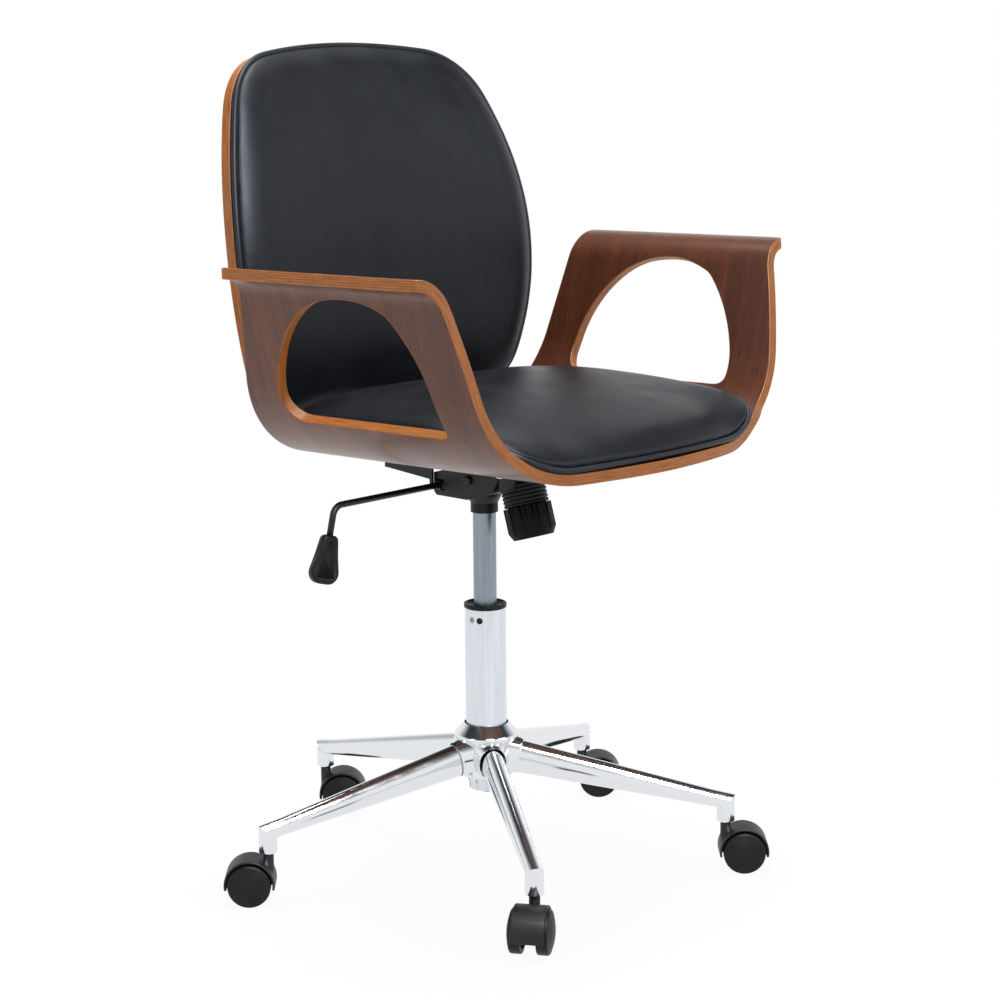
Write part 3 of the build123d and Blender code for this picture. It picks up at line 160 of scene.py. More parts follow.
def walnut_veneer(tree):
    # Sliced walnut veneer under satin lacquer: fine straight brown streaks, dark pores and a soft grey sheen
    # at a slant. The sheet's UV is in metres, across the grain and along it.
    sheet = add(tree, "TexCoord").outputs["UV"]
    wide = add(tree, "Mapping", {"Vector": sheet, "Scale": (1 / 0.026, 1 / 0.60, 1)})
    streak = add(tree, "Mapping", {"Vector": sheet, "Scale": (1 / 0.0020, 1 / 0.22, 1)})
    # Real pores are 0.2 mm wide; they are drawn 1.1 mm wide so that they show.
    pore = add(tree, "Mapping", {"Vector": sheet, "Scale": (1 / 0.0011, 1 / 0.022, 1)})
    figure = add(tree, "TexNoise", {"Vector": wide, "Scale": 1.0, "Detail": 3.0, "Distortion": 0.4})
    line = add(tree, "TexNoise", {"Vector": streak, "Scale": 1.0, "Detail": 4.0, "Roughness": 0.6})
    pit = add(tree, "TexNoise", {"Vector": pore, "Scale": 1.0, "Detail": 2.0})
    mixed = add(tree, "Math", {0: figure, 1: line}, operation="ADD")
    half = add(tree, "Math", {0: mixed, 1: 0.5}, operation="MULTIPLY")
    wood = add(tree, "ValToRGB", {0: half}, stops=[(0.28, "#43200f"), (0.74, "#753b1e"), (0.43, "#502711"),
                                                   (0.53, "#5b2d15"), (0.62, "#673419")])
    dark = add(tree, "ValToRGB", {0: pit}, stops=[(0.33, "#a2968f"), (0.44, "#ffffff")])
    colour = add(tree, "MixRGB", {0: 1.0, 1: wood, 2: dark}, blend_type="MULTIPLY")
    rough = add(tree, "MapRange", {0: line, 1: 0.3, 2: 0.7, 3: 0.44, 4: 0.34})
    bump = add(tree, "Bump", {"Height": pit, "Strength": 0.08, "Distance": 0.0004})
    return add(tree, "BsdfPrincipled", {"Base Color": colour, "Roughness": rough, "Normal": bump,
                                        "Specular IOR Level": 0.25,
                                        "Coat Weight": 0.4, "Coat Roughness": 0.28})


def plywood_edge(tree):
    # Sawn and oiled plywood edge: thin plies of two close browns side by side, with short grain.
    sheet = add(tree, "TexCoord").outputs["UV"]
    split = add(tree, "SeparateXYZ", {0: sheet})
    plies = add(tree, "Math", {0: split.outputs[1], 1: 9 / 0.013}, operation="MULTIPLY")
    turn = add(tree, "Math", {0: plies, 1: 1.0}, operation="PINGPONG")
    across = add(tree, "Mapping", {"Vector": sheet, "Scale": (1 / 0.030, 1 / 0.0011, 1)})
    fibre = add(tree, "TexNoise", {"Vector": across, "Scale": 1.0, "Detail": 3.0})
    stripe = add(tree, "ValToRGB", {0: turn}, stops=[(0.25, "#a05d25"), (0.75, "#b57130")])
    shade = add(tree, "ValToRGB", {0: fibre}, stops=[(0.30, "#bfaf9f"), (0.62, "#ffffff")])
    colour = add(tree, "MixRGB", {0: 1.0, 1: stripe, 2: shade}, blend_type="MULTIPLY")
    bump = add(tree, "Bump", {"Height": fibre, "Strength": 0.15, "Distance": 0.0003})
    return add(tree, "BsdfPrincipled", {"Base Color": colour, "Roughness": 0.42, "Normal": bump,
                                        "Specular IOR Level": 0.3,
                                        "Coat Weight": 0.1, "Coat Roughness": 0.2})


def leatherette(tree, dark="#101216", light="#16181d", relief=0.5):
    # Calendered, embossed polyurethane leather: blue-black, with pebbles that break up a broad satin sheen.
    place = add(tree, "TexCoord").outputs["Object"]
    # Real pebbles are about 0.8 mm; they are drawn at 1.5 mm so that they show.
    pebble = add(tree, "TexVoronoi", {"Vector": place, "Scale": 1 / 0.0015}, feature="DISTANCE_TO_EDGE")
    cloud = add(tree, "TexNoise", {"Vector": place, "Scale": 1 / 0.045, "Detail": 3.0})
    colour = add(tree, "ValToRGB", {0: cloud}, stops=[(0.3, dark), (0.7, light)])
    rough = add(tree, "MapRange", {0: cloud, 1: 0.3, 2: 0.7, 3: 0.33, 4: 0.42})
    bump = add(tree, "Bump", {"Height": pebble, "Strength": relief, "Distance": 0.0004})
    return add(tree, "BsdfPrincipled", {"Base Color": colour, "Roughness": rough, "Normal": bump,
                                        "Specular IOR Level": 0.26, "Specular Tint": tone("#dfe6f4")})


def chrome_mirror(tree):
    # Polished steel with bright chrome plate: a clear mirror, faintly wavy where the tube was drawn.
    place = add(tree, "TexCoord").outputs["Object"]
    wave = add(tree, "TexNoise", {"Vector": place, "Scale": 1 / 0.030, "Detail": 2.0})
    smear = add(tree, "MapRange", {0: wave, 1: 0.3, 2: 0.7, 3: 0.09, 4: 0.14})
    bump = add(tree, "Bump", {"Height": wave, "Strength": 0.05, "Distance": 0.001})
    return add(tree, "BsdfPrincipled", {"Base Color": tone("#e3e5e8"), "Metallic": 1.0, "Roughness": smear,
                                        "Normal": bump})


def plated_tube(tree, wide, tall, dark, light, smooth, dull):
    # Plate over a drawn or ground tube: a blurred mirror with soft upright streaks of a real size in metres.
    place = add(tree, "TexCoord").outputs["Object"]
    upright = add(tree, "Mapping", {"Vector": place, "Scale": (1 / wide, 1 / wide, 1 / tall)})
    streak = add(tree, "TexNoise", {"Vector": upright, "Scale": 1.0, "Detail": 3.0})
    colour = add(tree, "ValToRGB", {0: streak}, stops=[(0.3, dark), (0.7, light)])
    smear = add(tree, "MapRange", {0: streak, 1: 0.3, 2: 0.7, 3: smooth, 4: dull})
    return add(tree, "BsdfPrincipled", {"Base Color": colour, "Metallic": 1.0, "Roughness": smear})


def powder_coat(tree):
    # Black powder coat on pressed steel: semi-matt, with the slight orange peel of melted powder.
    place = add(tree, "TexCoord").outputs["Object"]
    peel = add(tree, "TexNoise", {"Vector": place, "Scale": 1 / 0.0022, "Detail": 2.0})
    colour = add(tree, "ValToRGB", {0: peel}, stops=[(0.3, "#0d0d0e"), (0.7, "#131314")])
    bump = add(tree, "Bump", {"Height": peel, "Strength": 0.18, "Distance": 0.0004})
    return add(tree, "BsdfPrincipled", {"Base Color": colour, "Roughness": 0.42, "Normal": bump,
                                        "Specular IOR Level": 0.35})


def moulded_nylon(tree, dark="#141417", light="#1e1e22", gloss=0.2):
    # Injection-moulded black nylon: dull sheen, the mould's eroded texture, paler where it is rubbed.
    place = add(tree, "TexCoord").outputs["Object"]
    # The mould's grit is about 0.2 mm; it is drawn at 1 mm so that it shows.
    grit = add(tree, "TexNoise", {"Vector": place, "Scale": 1 / 0.0010, "Detail": 2.0})
    rub = add(tree, "TexNoise", {"Vector": place, "Scale": 1 / 0.018, "Detail": 3.0})
    colour = add(tree, "ValToRGB", {0: rub}, stops=[(0.35, dark), (0.7, light)])
    rough = add(tree, "MapRange", {0: rub, 1: 0.3, 2: 0.7, 3: 0.40, 4: 0.52})
    bump = add(tree, "Bump", {"Height": grit, "Strength": 0.12, "Distance": 0.0003})
    return add(tree, "BsdfPrincipled", {"Base Color": colour, "Roughness": rough, "Normal": bump,
                                        "Specular IOR Level": gloss})


def turned_steel(tree):
    # Plain turned steel with a film of oil: grey, with fine tool marks.
    place = add(tree, "TexCoord").outputs["Object"]
    mark = add(tree, "TexNoise", {"Vector": place, "Scale": 1 / 0.0025, "Detail": 3.0})
    colour = add(tree, "ValToRGB", {0: mark}, stops=[(0.3, "#7f7f7e"), (0.7, "#a3a3a1")])
    smear = add(tree, "MapRange", {0: mark, 1: 0.3, 2: 0.7, 3: 0.25, 4: 0.40})
    return add(tree, "BsdfPrincipled", {"Base Color": colour, "Metallic": 1.0, "Roughness": smear})


def raw_board(tree):
    # Rotary-cut poplar board, unsanded: pale, with long soft grain.
    place = add(tree, "TexCoord").outputs["Object"]
    along = add(tree, "Mapping", {"Vector": place, "Scale": (1 / 0.008, 1 / 0.15, 1 / 0.008)})
    grain = add(tree, "TexNoise", {"Vector": along, "Scale": 1.0, "Detail": 4.0})
    colour = add(tree, "ValToRGB", {0: grain}, stops=[(0.3, "#a98559"), (0.7, "#cfae80")])
    return add(tree, "BsdfPrincipled", {"Base Color": colour, "Roughness": 0.75})


VENEER = finish("walnut_veneer_lacquered", walnut_veneer)
EDGE = finish("plywood_edge_oiled", plywood_edge)
LEATHER = finish("leatherette_embossed", leatherette)
# Pulled tight over a cord its pebbles flatten, so the piping looks smoother; its paler colour is a painted
# sheen.
CORD_PAINTED_SHEEN = finish("leatherette_over_cord_painted_sheen", lambda tree: leatherette(tree, "#202328", "#272a30", 0.15))
CHROME = finish("chrome_plate_polished", chrome_mirror)
# Bright chrome over a ground tube, and bluish, duller zinc over a drawn cylinder.
TUBE = finish("chrome_plate_ground",
              lambda tree: plated_tube(tree, 0.004, 0.09, "#d2d8df", "#dce2e8", 0.22, 0.34))
ZINC = finish("zinc_plate_drawn",
              lambda tree: plated_tube(tree, 0.003, 0.06, "#868f98", "#949da6", 0.32, 0.44))
COAT = finish("powder_coat_black", powder_coat)
NYLON = finish("nylon_black_moulded", moulded_nylon)
# The casters' hoods come from a polished mould and are glossier; their paler colour is a painted sheen. The
# knob comes from a coarse one.
HOOD_NYLON_PAINTED_SHEEN = finish("nylon_black_polished_painted_sheen", lambda tree: moulded_nylon(tree, "#1c1c20", "#242428", 0.3))
KNOB_NYLON = finish("nylon_black_matt", lambda tree: moulded_nylon(tree, "#09090a", "#0f0f10", 0.1))
STEEL = finish("steel_turned", turned_steel)
BOARD = finish("poplar_board_raw", raw_board)


# Shared shapes

def ring_through(p, q, r):
    """Centre and radius of the circle through three points."""
    (ax, ay), (bx, by), (cx, cy) = p, q, r
    d = 2 * (ax * (by - cy) + bx * (cy - ay) + cx * (ay - by))
    a, b, c = ax * ax + ay * ay, bx * bx + by * by, cx * cx + cy * cy
    x = (a * (by - cy) + b * (cy - ay) + c * (ay - by)) / d
    y = (a * (cx - bx) + b * (ax - cx) + c * (bx - ax)) / d
    return x, y, math.hypot(ax - x, ay - y)


def arc(p, q, r, step):
    """Points on the arc from p through q to r, without r."""
    x, y, radius = ring_through(p, q, r)
    a, b, c = [math.atan2(v - y, u - x) for u, v in (p, q, r)]
    full = 2 * math.pi
    sweep = (c - a) % full
    if (b - a) % full > sweep:
        sweep -= full
    count = max(2, int(abs(sweep) * radius / step))
    return [(x + radius * math.cos(a + sweep * k / count), y + radius * math.sin(a + sweep * k / count))
            for k in range(count)]


def resampled(loop, step):
    """Closed loop at an even step."""
    points = np.array(loop + loop[:1])
    length = np.r_[0, np.cumsum(np.hypot(*np.diff(points, axis=0).T))]
    count = int(length[-1] / step)
    at = np.linspace(0, length[-1], count, endpoint=False)
    return np.c_[np.interp(at, length, points[:, 0]), np.interp(at, length, points[:, 1])]


def softened(loop, rounds):
    """Closed loop with its small kinks eased."""
    for _ in range(rounds):
        loop = 0.5 * loop + 0.25 * (np.roll(loop, 1, 0) + np.roll(loop, -1, 0))
    return loop


def outward(loop):
    """Unit vectors out of the filled side of a loop that runs anticlockwise round it."""
    step = np.roll(loop, -1, 0) - np.roll(loop, 1, 0)
    normal = np.c_[step[:, 1], -step[:, 0]]
    return normal / np.linalg.norm(normal, axis=1)[:, None]


def within(points, loops):
    """Which points lie inside an outline and outside the holes in it."""
    inside = np.zeros(len(points), bool)
    for loop in loops:
        for (ax, ay), (bx, by) in zip(loop, np.roll(loop, -1, 0)):
            if ay != by:
                crosses = (points[:, 1] > ay) != (points[:, 1] > by)
                inside ^= crosses & (points[:, 0] < (bx - ax) * (points[:, 1] - ay) / (by - ay) + ax)
    return inside


def new_piece(name, mesh, body, *materials):
    """Mesh object that rides on a body."""
    piece = bpy.data.objects.new(name, mesh)
    scene.collection.objects.link(piece)
    for material in materials:
        mesh.materials.append(material)
    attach(piece, body)
    return piece


def shaded(mesh, sharp=None):
    """Mesh with smooth shading, where edges that turn by more than sharp degrees stay."""
    mesh.polygons.foreach_set("use_smooth", [True] * len(mesh.polygons))
    if sharp:
        mesh.set_sharp_from_angle(angle=math.radians(sharp))
    return mesh


def bent_sheet(name, loops, spacing, surface, thickness, grain_along_u):
    """Plywood sheet: two veneered faces over a plan with holes, and rounded edges between them.

    surface(u, v) gives the outer face's point and its unit normal towards the inner face, in millimetres."""
    outs = [outward(loop) for loop in loops]
    trimmed = [loop - out * EDGE_ROUND for loop, out in zip(loops, outs)]
    low, high = loops[0].min(0), loops[0].max(0)
    us, vs = [np.linspace(a, b, int((b - a) / step) + 1) for a, b, step in zip(low, high, spacing)]
    grid = np.array([(u, v) for u in us for v in vs])
    grid = grid[within(grid, trimmed)]
    rim = np.vstack(trimmed)
    clear = np.array([np.min(np.hypot(*(rim - p).T)) > 2 * EDGE_ROUND for p in grid])
    plan = np.vstack([rim, grid[clear]])
    edges, start = [], 0
    for loop in trimmed:
        count = len(loop)
        edges += [(start + k, start + (k + 1) % count) for k in range(count)]
        start += count
    plan_points, _, triangles, *_ = delaunay_2d_cdt([Vector(p) for p in plan], edges, [], 0, 1e-4)
    plan = np.array(plan_points)
    middle = np.array([plan[list(t)].mean(0) for t in triangles])
    triangles = [t for t, keep in zip(triangles, within(middle, trimmed)) if keep]

    points, normals, faces, uvs, kinds = [], [], [], [], []

    def grain(u, v):
        return (v * MM, u * MM) if grain_along_u else (u * MM, v * MM)

    for depth, sign in ((0.0, -1.0), (thickness, 1.0)):
        first = len(points)
        for u, v in plan:
            point, normal = surface(u, v)
            points.append((point + normal * depth) * MM)
            normals.append(normal * sign)
        for t in triangles:
            a, b, c = [Vector(points[first + k]) for k in t]
            facing = (b - a).cross(c - a).dot(normals[first + t[0]])
            order = list(t) if facing > 0 else list(reversed(t))
            faces.append([first + k for k in order])
            uvs.append([grain(*plan[k]) for k in order])
            kinds.append(0)
    quarter = [(math.cos(math.radians(a)), math.sin(math.radians(a))) for a in (0, 30, 60, 90)]
    profile = [(EDGE_ROUND * (1 - c), EDGE_ROUND * (1 - s), -c, s) for c, s in quarter]
    profile += [(thickness - d, i, -n, o) for d, i, n, o in reversed(profile)]
    for loop, out in zip(loops, outs):
        count, first = len(loop), len(points)
        run = np.r_[0, np.cumsum(np.hypot(*(np.roll(loop, -1, 0) - loop).T))]
        for (u, v), (ou, ov) in zip(loop, out):
            here, normal = surface(u, v)
            ahead = surface(u + ou, v + ov)[0] - surface(u - ou, v - ov)[0]
            away = (ahead - normal * ahead.dot(normal)).normalized()
            for depth, inset, along_normal, along_out in profile:
                points.append((here + normal * depth - away * inset) * MM)
                normals.append(normal * along_normal + away * along_out)
        rows = len(profile)
        for k in range(count):
            ahead = (k + 1) % count
            for j in range(rows - 1):
                quad = [(k, j), (ahead, j), (ahead, j + 1), (k, j + 1)]
                corner = [first + a * rows + b for a, b in quad]
                side = (Vector(points[corner[1]]) - Vector(points[corner[0]])).cross(
                    Vector(points[corner[3]]) - Vector(points[corner[0]]))
                flip = side.dot(normals[corner[0]] + normals[corner[2]]) < 0
                place = [(run[k + (a != k)] * MM, profile[b][0] * MM) for a, b in quad]
                faces.append(corner[::-1] if flip else corner)
                uvs.append(place[::-1] if flip else place)
                kinds.append(1)
    mesh = bpy.data.meshes.new(name)
    mesh.from_pydata([tuple(p) for p in points], [], faces)
    layer = mesh.uv_layers.new(name="sheet")
    layer.data.foreach_set("uv", [c for face in uvs for uv in face for c in uv])
    mesh.polygons.foreach_set("material_index", kinds)
    shaded(mesh).normals_split_custom_set_from_vertices([tuple(n) for n in normals])
    return mesh


def tube_mesh(name, path, radius):
    """Closed round cord along a closed path, in metres."""
    points, faces = [], []
    count, sides = len(path), 12
    for k in range(count):
        forward = (path[(k + 1) % count] - path[k - 1]).normalized()
        side = forward.cross(Vector((0.3, 0.2, 1.0))).normalized()
        up = side.cross(forward)
        for j in range(sides):
            a = 2 * math.pi * j / sides
            points.append(path[k] + (side * math.cos(a) + up * math.sin(a)) * radius)
    for k in range(count):
        for j in range(sides):
            a, b = k * sides, ((k + 1) % count) * sides
            faces.append((a + j, b + j, b + (j + 1) % sides, a + (j + 1) % sides))
    mesh = bpy.data.meshes.new(name)
    mesh.from_pydata([tuple(p) for p in points], [], faces)
    return shaded(mesh)


# Seat shell

SEAT_FRAME = Matrix.Translation((0, 0, SEAT_Z)) @ Matrix.Rotation(math.radians(-SEAT_PITCH), 4, "X")
LOW = (FLAT_HALF + BEND_R * math.sin(ARM_TURN), BEND_R * (1 - math.cos(ARM_TURN)))
RISE = ARM_TOP - PLY - LOW[1] - ROLL_R * (1 - math.cos(ARM_TURN))
HIGH = (LOW[0] + RISE / math.tan(ARM_TURN), LOW[1] + RISE)
ROLL = (HIGH[0] + ROLL_R * math.sin(ARM_TURN), HIGH[1] - ROLL_R * math.cos(ARM_TURN))
RUNS = (FLAT_HALF, (BEND_R - PLY / 2) * ARM_TURN, math.dist(LOW, HIGH),
        (ROLL_R + PLY / 2) * ARM_TURN, ARM_FLAT)
REACH = sum(RUNS)
TIP_X = ROLL[0] + ARM_FLAT


def section(s):
    """Outer face of the bent section at a length along it, as (x, z), and its direction's angle."""
    s = min(s, REACH + 4.0)
    if s <= RUNS[0]:
        return s, 0.0, 0.0
    s -= RUNS[0]
    if s <= RUNS[1]:
        a = ARM_TURN * s / RUNS[1]
        return FLAT_HALF + BEND_R * math.sin(a), BEND_R * (1 - math.cos(a)), a
    s -= RUNS[1]
    if s <= RUNS[2]:
        return LOW[0] + s * math.cos(ARM_TURN), LOW[1] + s * math.sin(ARM_TURN), ARM_TURN
    s -= RUNS[2]
    if s <= RUNS[3]:
        a = ARM_TURN * (1 - s / RUNS[3])
        return ROLL[0] - ROLL_R * math.sin(a), ROLL[1] + ROLL_R * math.cos(a), a
    return ROLL[0] + s - RUNS[3], ARM_TOP - PLY, 0.0


def seat_surface(s, y):
    """Outer face of the seat shell and its normal towards the sitter."""
    side = math.copysign(1.0, s)
    x, z, a = section(abs(s))
    normal = Vector((-math.sin(a) * side, 0.0, math.cos(a)))
    return SEAT_FRAME @ Vector((x * side, y, z)), (SEAT_FRAME.to_3x3() @ normal)


def length_at(z):
    """Length along the section where the outer face reaches a height, on the bend or the arm panel."""
    if z <= LOW[1]:
        return RUNS[0] + RUNS[1] * math.acos(1 - z / BEND_R) / ARM_TURN
    return RUNS[0] + RUNS[1] + (z - LOW[1]) / math.sin(ARM_TURN)


def eased(x, knots):
    """Smooth curve through (place, value, slope) knots."""
    for (x0, y0, m0), (x1, y1, m1) in zip(knots, knots[1:]):
        if x <= x1:
            w, t = x1 - x0, (x - x0) / (x1 - x0)
            return (y0 * (1 + 2 * t) * (1 - t) ** 2 + m0 * w * t * (1 - t) ** 2
                    + y1 * t * t * (3 - 2 * t) + m1 * w * t * t * (t - 1))
    return knots[-1][1]


def leaning(z, lean):
    """Place of an arm panel's edge at a height."""
    start, place, slope, curve = lean
    return place + slope * (z - start) + curve * (z - start) ** 2


def front_edge(s):
    """Front edge of the seat shell: bulging seat, receding arm panels, rounded arm tips."""
    x, z, a = section(abs(s))
    x, z = x - math.sin(a) * PLY / 2, z + math.cos(a) * PLY / 2
    bend, bend_front, _ = FRONT_KNOTS[-1]
    foot, top = ARM_FRONT
    plan = eased(min(x, bend), FRONT_KNOTS)
    if x > bend:
        plan = bend_front + (foot - bend_front) * min(1.0, (x - bend) / (LOW[0] - bend))
    if x > LOW[0]:
        plan = foot + (top - foot) * min(1.0, (x - LOW[0]) / (HIGH[0] - LOW[0]))
    if x > HIGH[0]:
        cx, cy, r = ring_through((HIGH[0], top), *[(TIP_X - inset, y) for inset, y in ARM_TIP])
        plan = cy - math.sqrt(max(0.0, r * r - (min(x, TIP_X) - cx) ** 2))
    return max(plan, leaning(z, FRONT_LEAN)) if z > FRONT_LEAN[0] else plan


def rear_edge(s):
    """Rear edge of the seat shell, forward-leaning towards the arm's top."""
    _, z, a = section(abs(s))
    return leaning(z + math.cos(a) * PLY / 2, REAR_LEAN)


def arm_window(side):
    """Window in an arm panel: straight sill, sharp front foot, long arch, rounded rear foot."""
    def at(y, z):
        return length_at(z), y
    (front, sill), (rear, _) = WINDOW_ARCS[0][0], WINDOW_ARCS[-1][-1]
    loop = [at(y, sill) for y in range(rear, front, -4)]
    for points in WINDOW_ARCS:
        loop += arc(*[at(*p) for p in points], 3.0)
    return softened(resampled(loop, 3.0), 4) * (side, 1)


def clockwise(loop, wanted):
    """Loop turned to run clockwise or not."""
    ahead = np.roll(loop, -1, 0)
    turns_right = np.sum(loop[:, 0] * ahead[:, 1] - ahead[:, 0] * loop[:, 1]) < 0
    return loop if turns_right == wanted else loop[::-1]


def build_seat_shell():
    front = [(s, front_edge(s)) for s in np.arange(-REACH, REACH + 0.01, 2 * REACH / 300)]
    rear = [(s, rear_edge(s)) for s in np.arange(REACH, -REACH - 0.01, -2 * REACH / 200)]
    plan = softened(resampled(front + rear, 4.0), 2)
    loops = [clockwise(plan, False)] + [clockwise(arm_window(side), True) for side in (1, -1)]
    mesh = bent_sheet("bent_seat_shell", loops, (6.0, 11.0), seat_surface, PLY, True)
    shell = new_piece("bent_seat_shell", mesh, "seat", VENEER, EDGE)
    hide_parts("seat_shell")


build_seat_shell()


# Back shell

BACK_ROUND = ring_through(*BACK_SIDE)
BACK_AXIS = BACK_SIDE[1][0] - BACK_BEND_R


def back_front(x, z):
    """Front face of the back shell."""
    cy, cz, radius = BACK_ROUND
    middle = cy - math.sqrt(radius ** 2 - (z - cz) ** 2)
    return BACK_AXIS + math.sqrt((middle - BACK_AXIS) ** 2 - x * x)


def back_surface(x, z):
    """Front face of the back shell and its normal towards the rear."""
    slope_x = (back_front(x + 1, z) - back_front(x - 1, z)) / 2
    slope_z = (back_front(x, z + 1) - back_front(x, z - 1)) / 2
    return Vector((x, back_front(x, z), z)), Vector((-slope_x, 1.0, -slope_z)).normalized()


def back_outline():
    """Back's outline: flat-arched top, full corners, widest at arm height, drawn-in foot."""
    tx, tz, tr = ring_through((-BACK_SHOULDER[0], BACK_SHOULDER[1]), (0, BACK_TOP), BACK_SHOULDER)
    sx, sz, sr = ring_through(BACK_SHOULDER, BACK_WIDEST, BACK_FOOT)
    r_top, r_foot = BACK_CORNERS
    a, b = tr - r_top, sr - r_top
    d = math.hypot(sx - tx, sz - tz)
    along = (a * a - b * b + d * d) / (2 * d)
    across = math.sqrt(a * a - along * along)
    ux, uz = (sx - tx) / d, (sz - tz) / d
    corners = [(tx + ux * along + k * uz * across, tz + uz * along - k * ux * across) for k in (-1, 1)]
    cx, cz = max(corners, key=lambda c: (c[0] > 0, c[1]))
    top_touch = (cx + (cx - tx) / a * r_top, cz + (cz - tz) / a * r_top)
    side_touch = (cx + (cx - sx) / b * r_top, cz + (cz - sz) / b * r_top)
    middle = math.atan2(top_touch[1] + side_touch[1] - 2 * cz, top_touch[0] + side_touch[0] - 2 * cx)
    fz = BACK_FOOT[1] + r_foot
    fx = sx + math.sqrt((sr - r_foot) ** 2 - (fz - sz) ** 2)
    foot_touch = (fx + (fx - sx) / (sr - r_foot) * r_foot, fz + (fz - sz) / (sr - r_foot) * r_foot)
    turn = math.atan2(foot_touch[1] - fz, foot_touch[0] - fx) / 2 - math.pi / 4
    top_middle = (top_touch[0] / 2, tz + math.sqrt(tr ** 2 - top_touch[0] ** 2 / 4))
    corner_middle = (cx + r_top * math.cos(middle), cz + r_top * math.sin(middle))
    foot_middle = (fx + r_foot * math.cos(turn), fz + r_foot * math.sin(turn))
    half = arc((0.0, BACK_TOP), top_middle, top_touch, 4.0)
    half += arc(top_touch, corner_middle, side_touch, 4.0)
    half += arc(side_touch, BACK_WIDEST, foot_touch, 4.0)
    half += arc(foot_touch, foot_middle, (fx, BACK_FOOT[1]), 4.0)
    half += [(x, BACK_FOOT[1]) for x in np.linspace(fx, 0, int(fx / 4))]
    other = [(-x, z) for x, z in reversed(half)]
    return softened(resampled(half + other[1:-1], 4.0), 2)


BACK_LOOP = clockwise(back_outline(), False)


def build_back_shell():
    mesh = bent_sheet("bent_back_shell", [BACK_LOOP], (9.0, 9.0), back_surface, BACK_PLY, False)
    shell = new_piece("bent_back_shell", mesh, "seat", VENEER, EDGE)
    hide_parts("back_shell")


build_back_shell()


# Pads

def evened(grid):
    """Draws the inner points of a grid towards their neighbours."""
    near = grid[:-2, 1:-1] + grid[2:, 1:-1] + grid[1:-1, :-2] + grid[1:-1, 2:]
    grid[1:-1, 1:-1] = 0.5 * grid[1:-1, 1:-1] + 0.125 * near


def filled(loop, centre):
    """Square grid of plan points that fills an anticlockwise loop, finer towards its border."""
    half = GRID_HALF
    away = (loop - centre) / (loop.max(0) - loop.min(0))
    marks = [int(np.argmax(away @ way)) for way in ((1, 1), (-1, 1), (-1, -1), (1, -1))]
    sides = []
    for start, stop in zip(marks, marks[1:] + marks[:1]):
        run = loop[np.arange(start, start + (stop - start) % len(loop) + 1) % len(loop)]
        length = np.r_[0, np.cumsum(np.hypot(*np.diff(run, axis=0).T))]
        at = np.linspace(0, length[-1], 2 * half + 1)
        sides.append(np.c_[np.interp(at, length, run[:, 0]), np.interp(at, length, run[:, 1])])
    grid = np.empty((2 * half + 1, 2 * half + 1, 2))
    for i in range(-half, half + 1):
        for j in range(-half, half + 1):
            ring = max(abs(i), abs(j))
            u, v = (i * half / ring, j * half / ring) if ring else (half, 0)
            if v == half:
                border = sides[0][int(round(half - u))]
            elif u == -half:
                border = sides[1][int(round(half - v))]
            elif v == -half:
                border = sides[2][int(round(half + u))]
            else:
                border = sides[3][int(round(half + v))]
            share = ring / half
            grid[i + half, j + half] = centre + (border - centre) * share * (1 + GRID_FINER * (1 - share))
    middle = grid[GRID_RIM:-GRID_RIM, GRID_RIM:-GRID_RIM]
    for _ in range(GRID_ROUNDS):
        evened(middle)
    return grid


def roll_over(points, loop, radius, bulge, fullness):
    """Pad's plan points with its side bulged over the seam, their shares of depth and nearest seam points.

    A fullness of 2 rounds the border as a quarter ellipse, a higher one squares it."""
    fine = resampled([tuple(p) for p in loop], 1.0)
    nearest = fine[[int(np.hypot(*(fine - p).T).argmin()) for p in points]]
    reach = np.hypot(*(nearest - points).T)
    share = (1 - (1 - np.minimum(reach / radius, 1.0)) ** fullness) ** (1 / fullness)
    away = (nearest - points) / np.maximum(reach, 1e-6)[:, None]
    return points + away * (bulge * np.sin(np.pi * share) * (reach > 0.6))[:, None], share, nearest


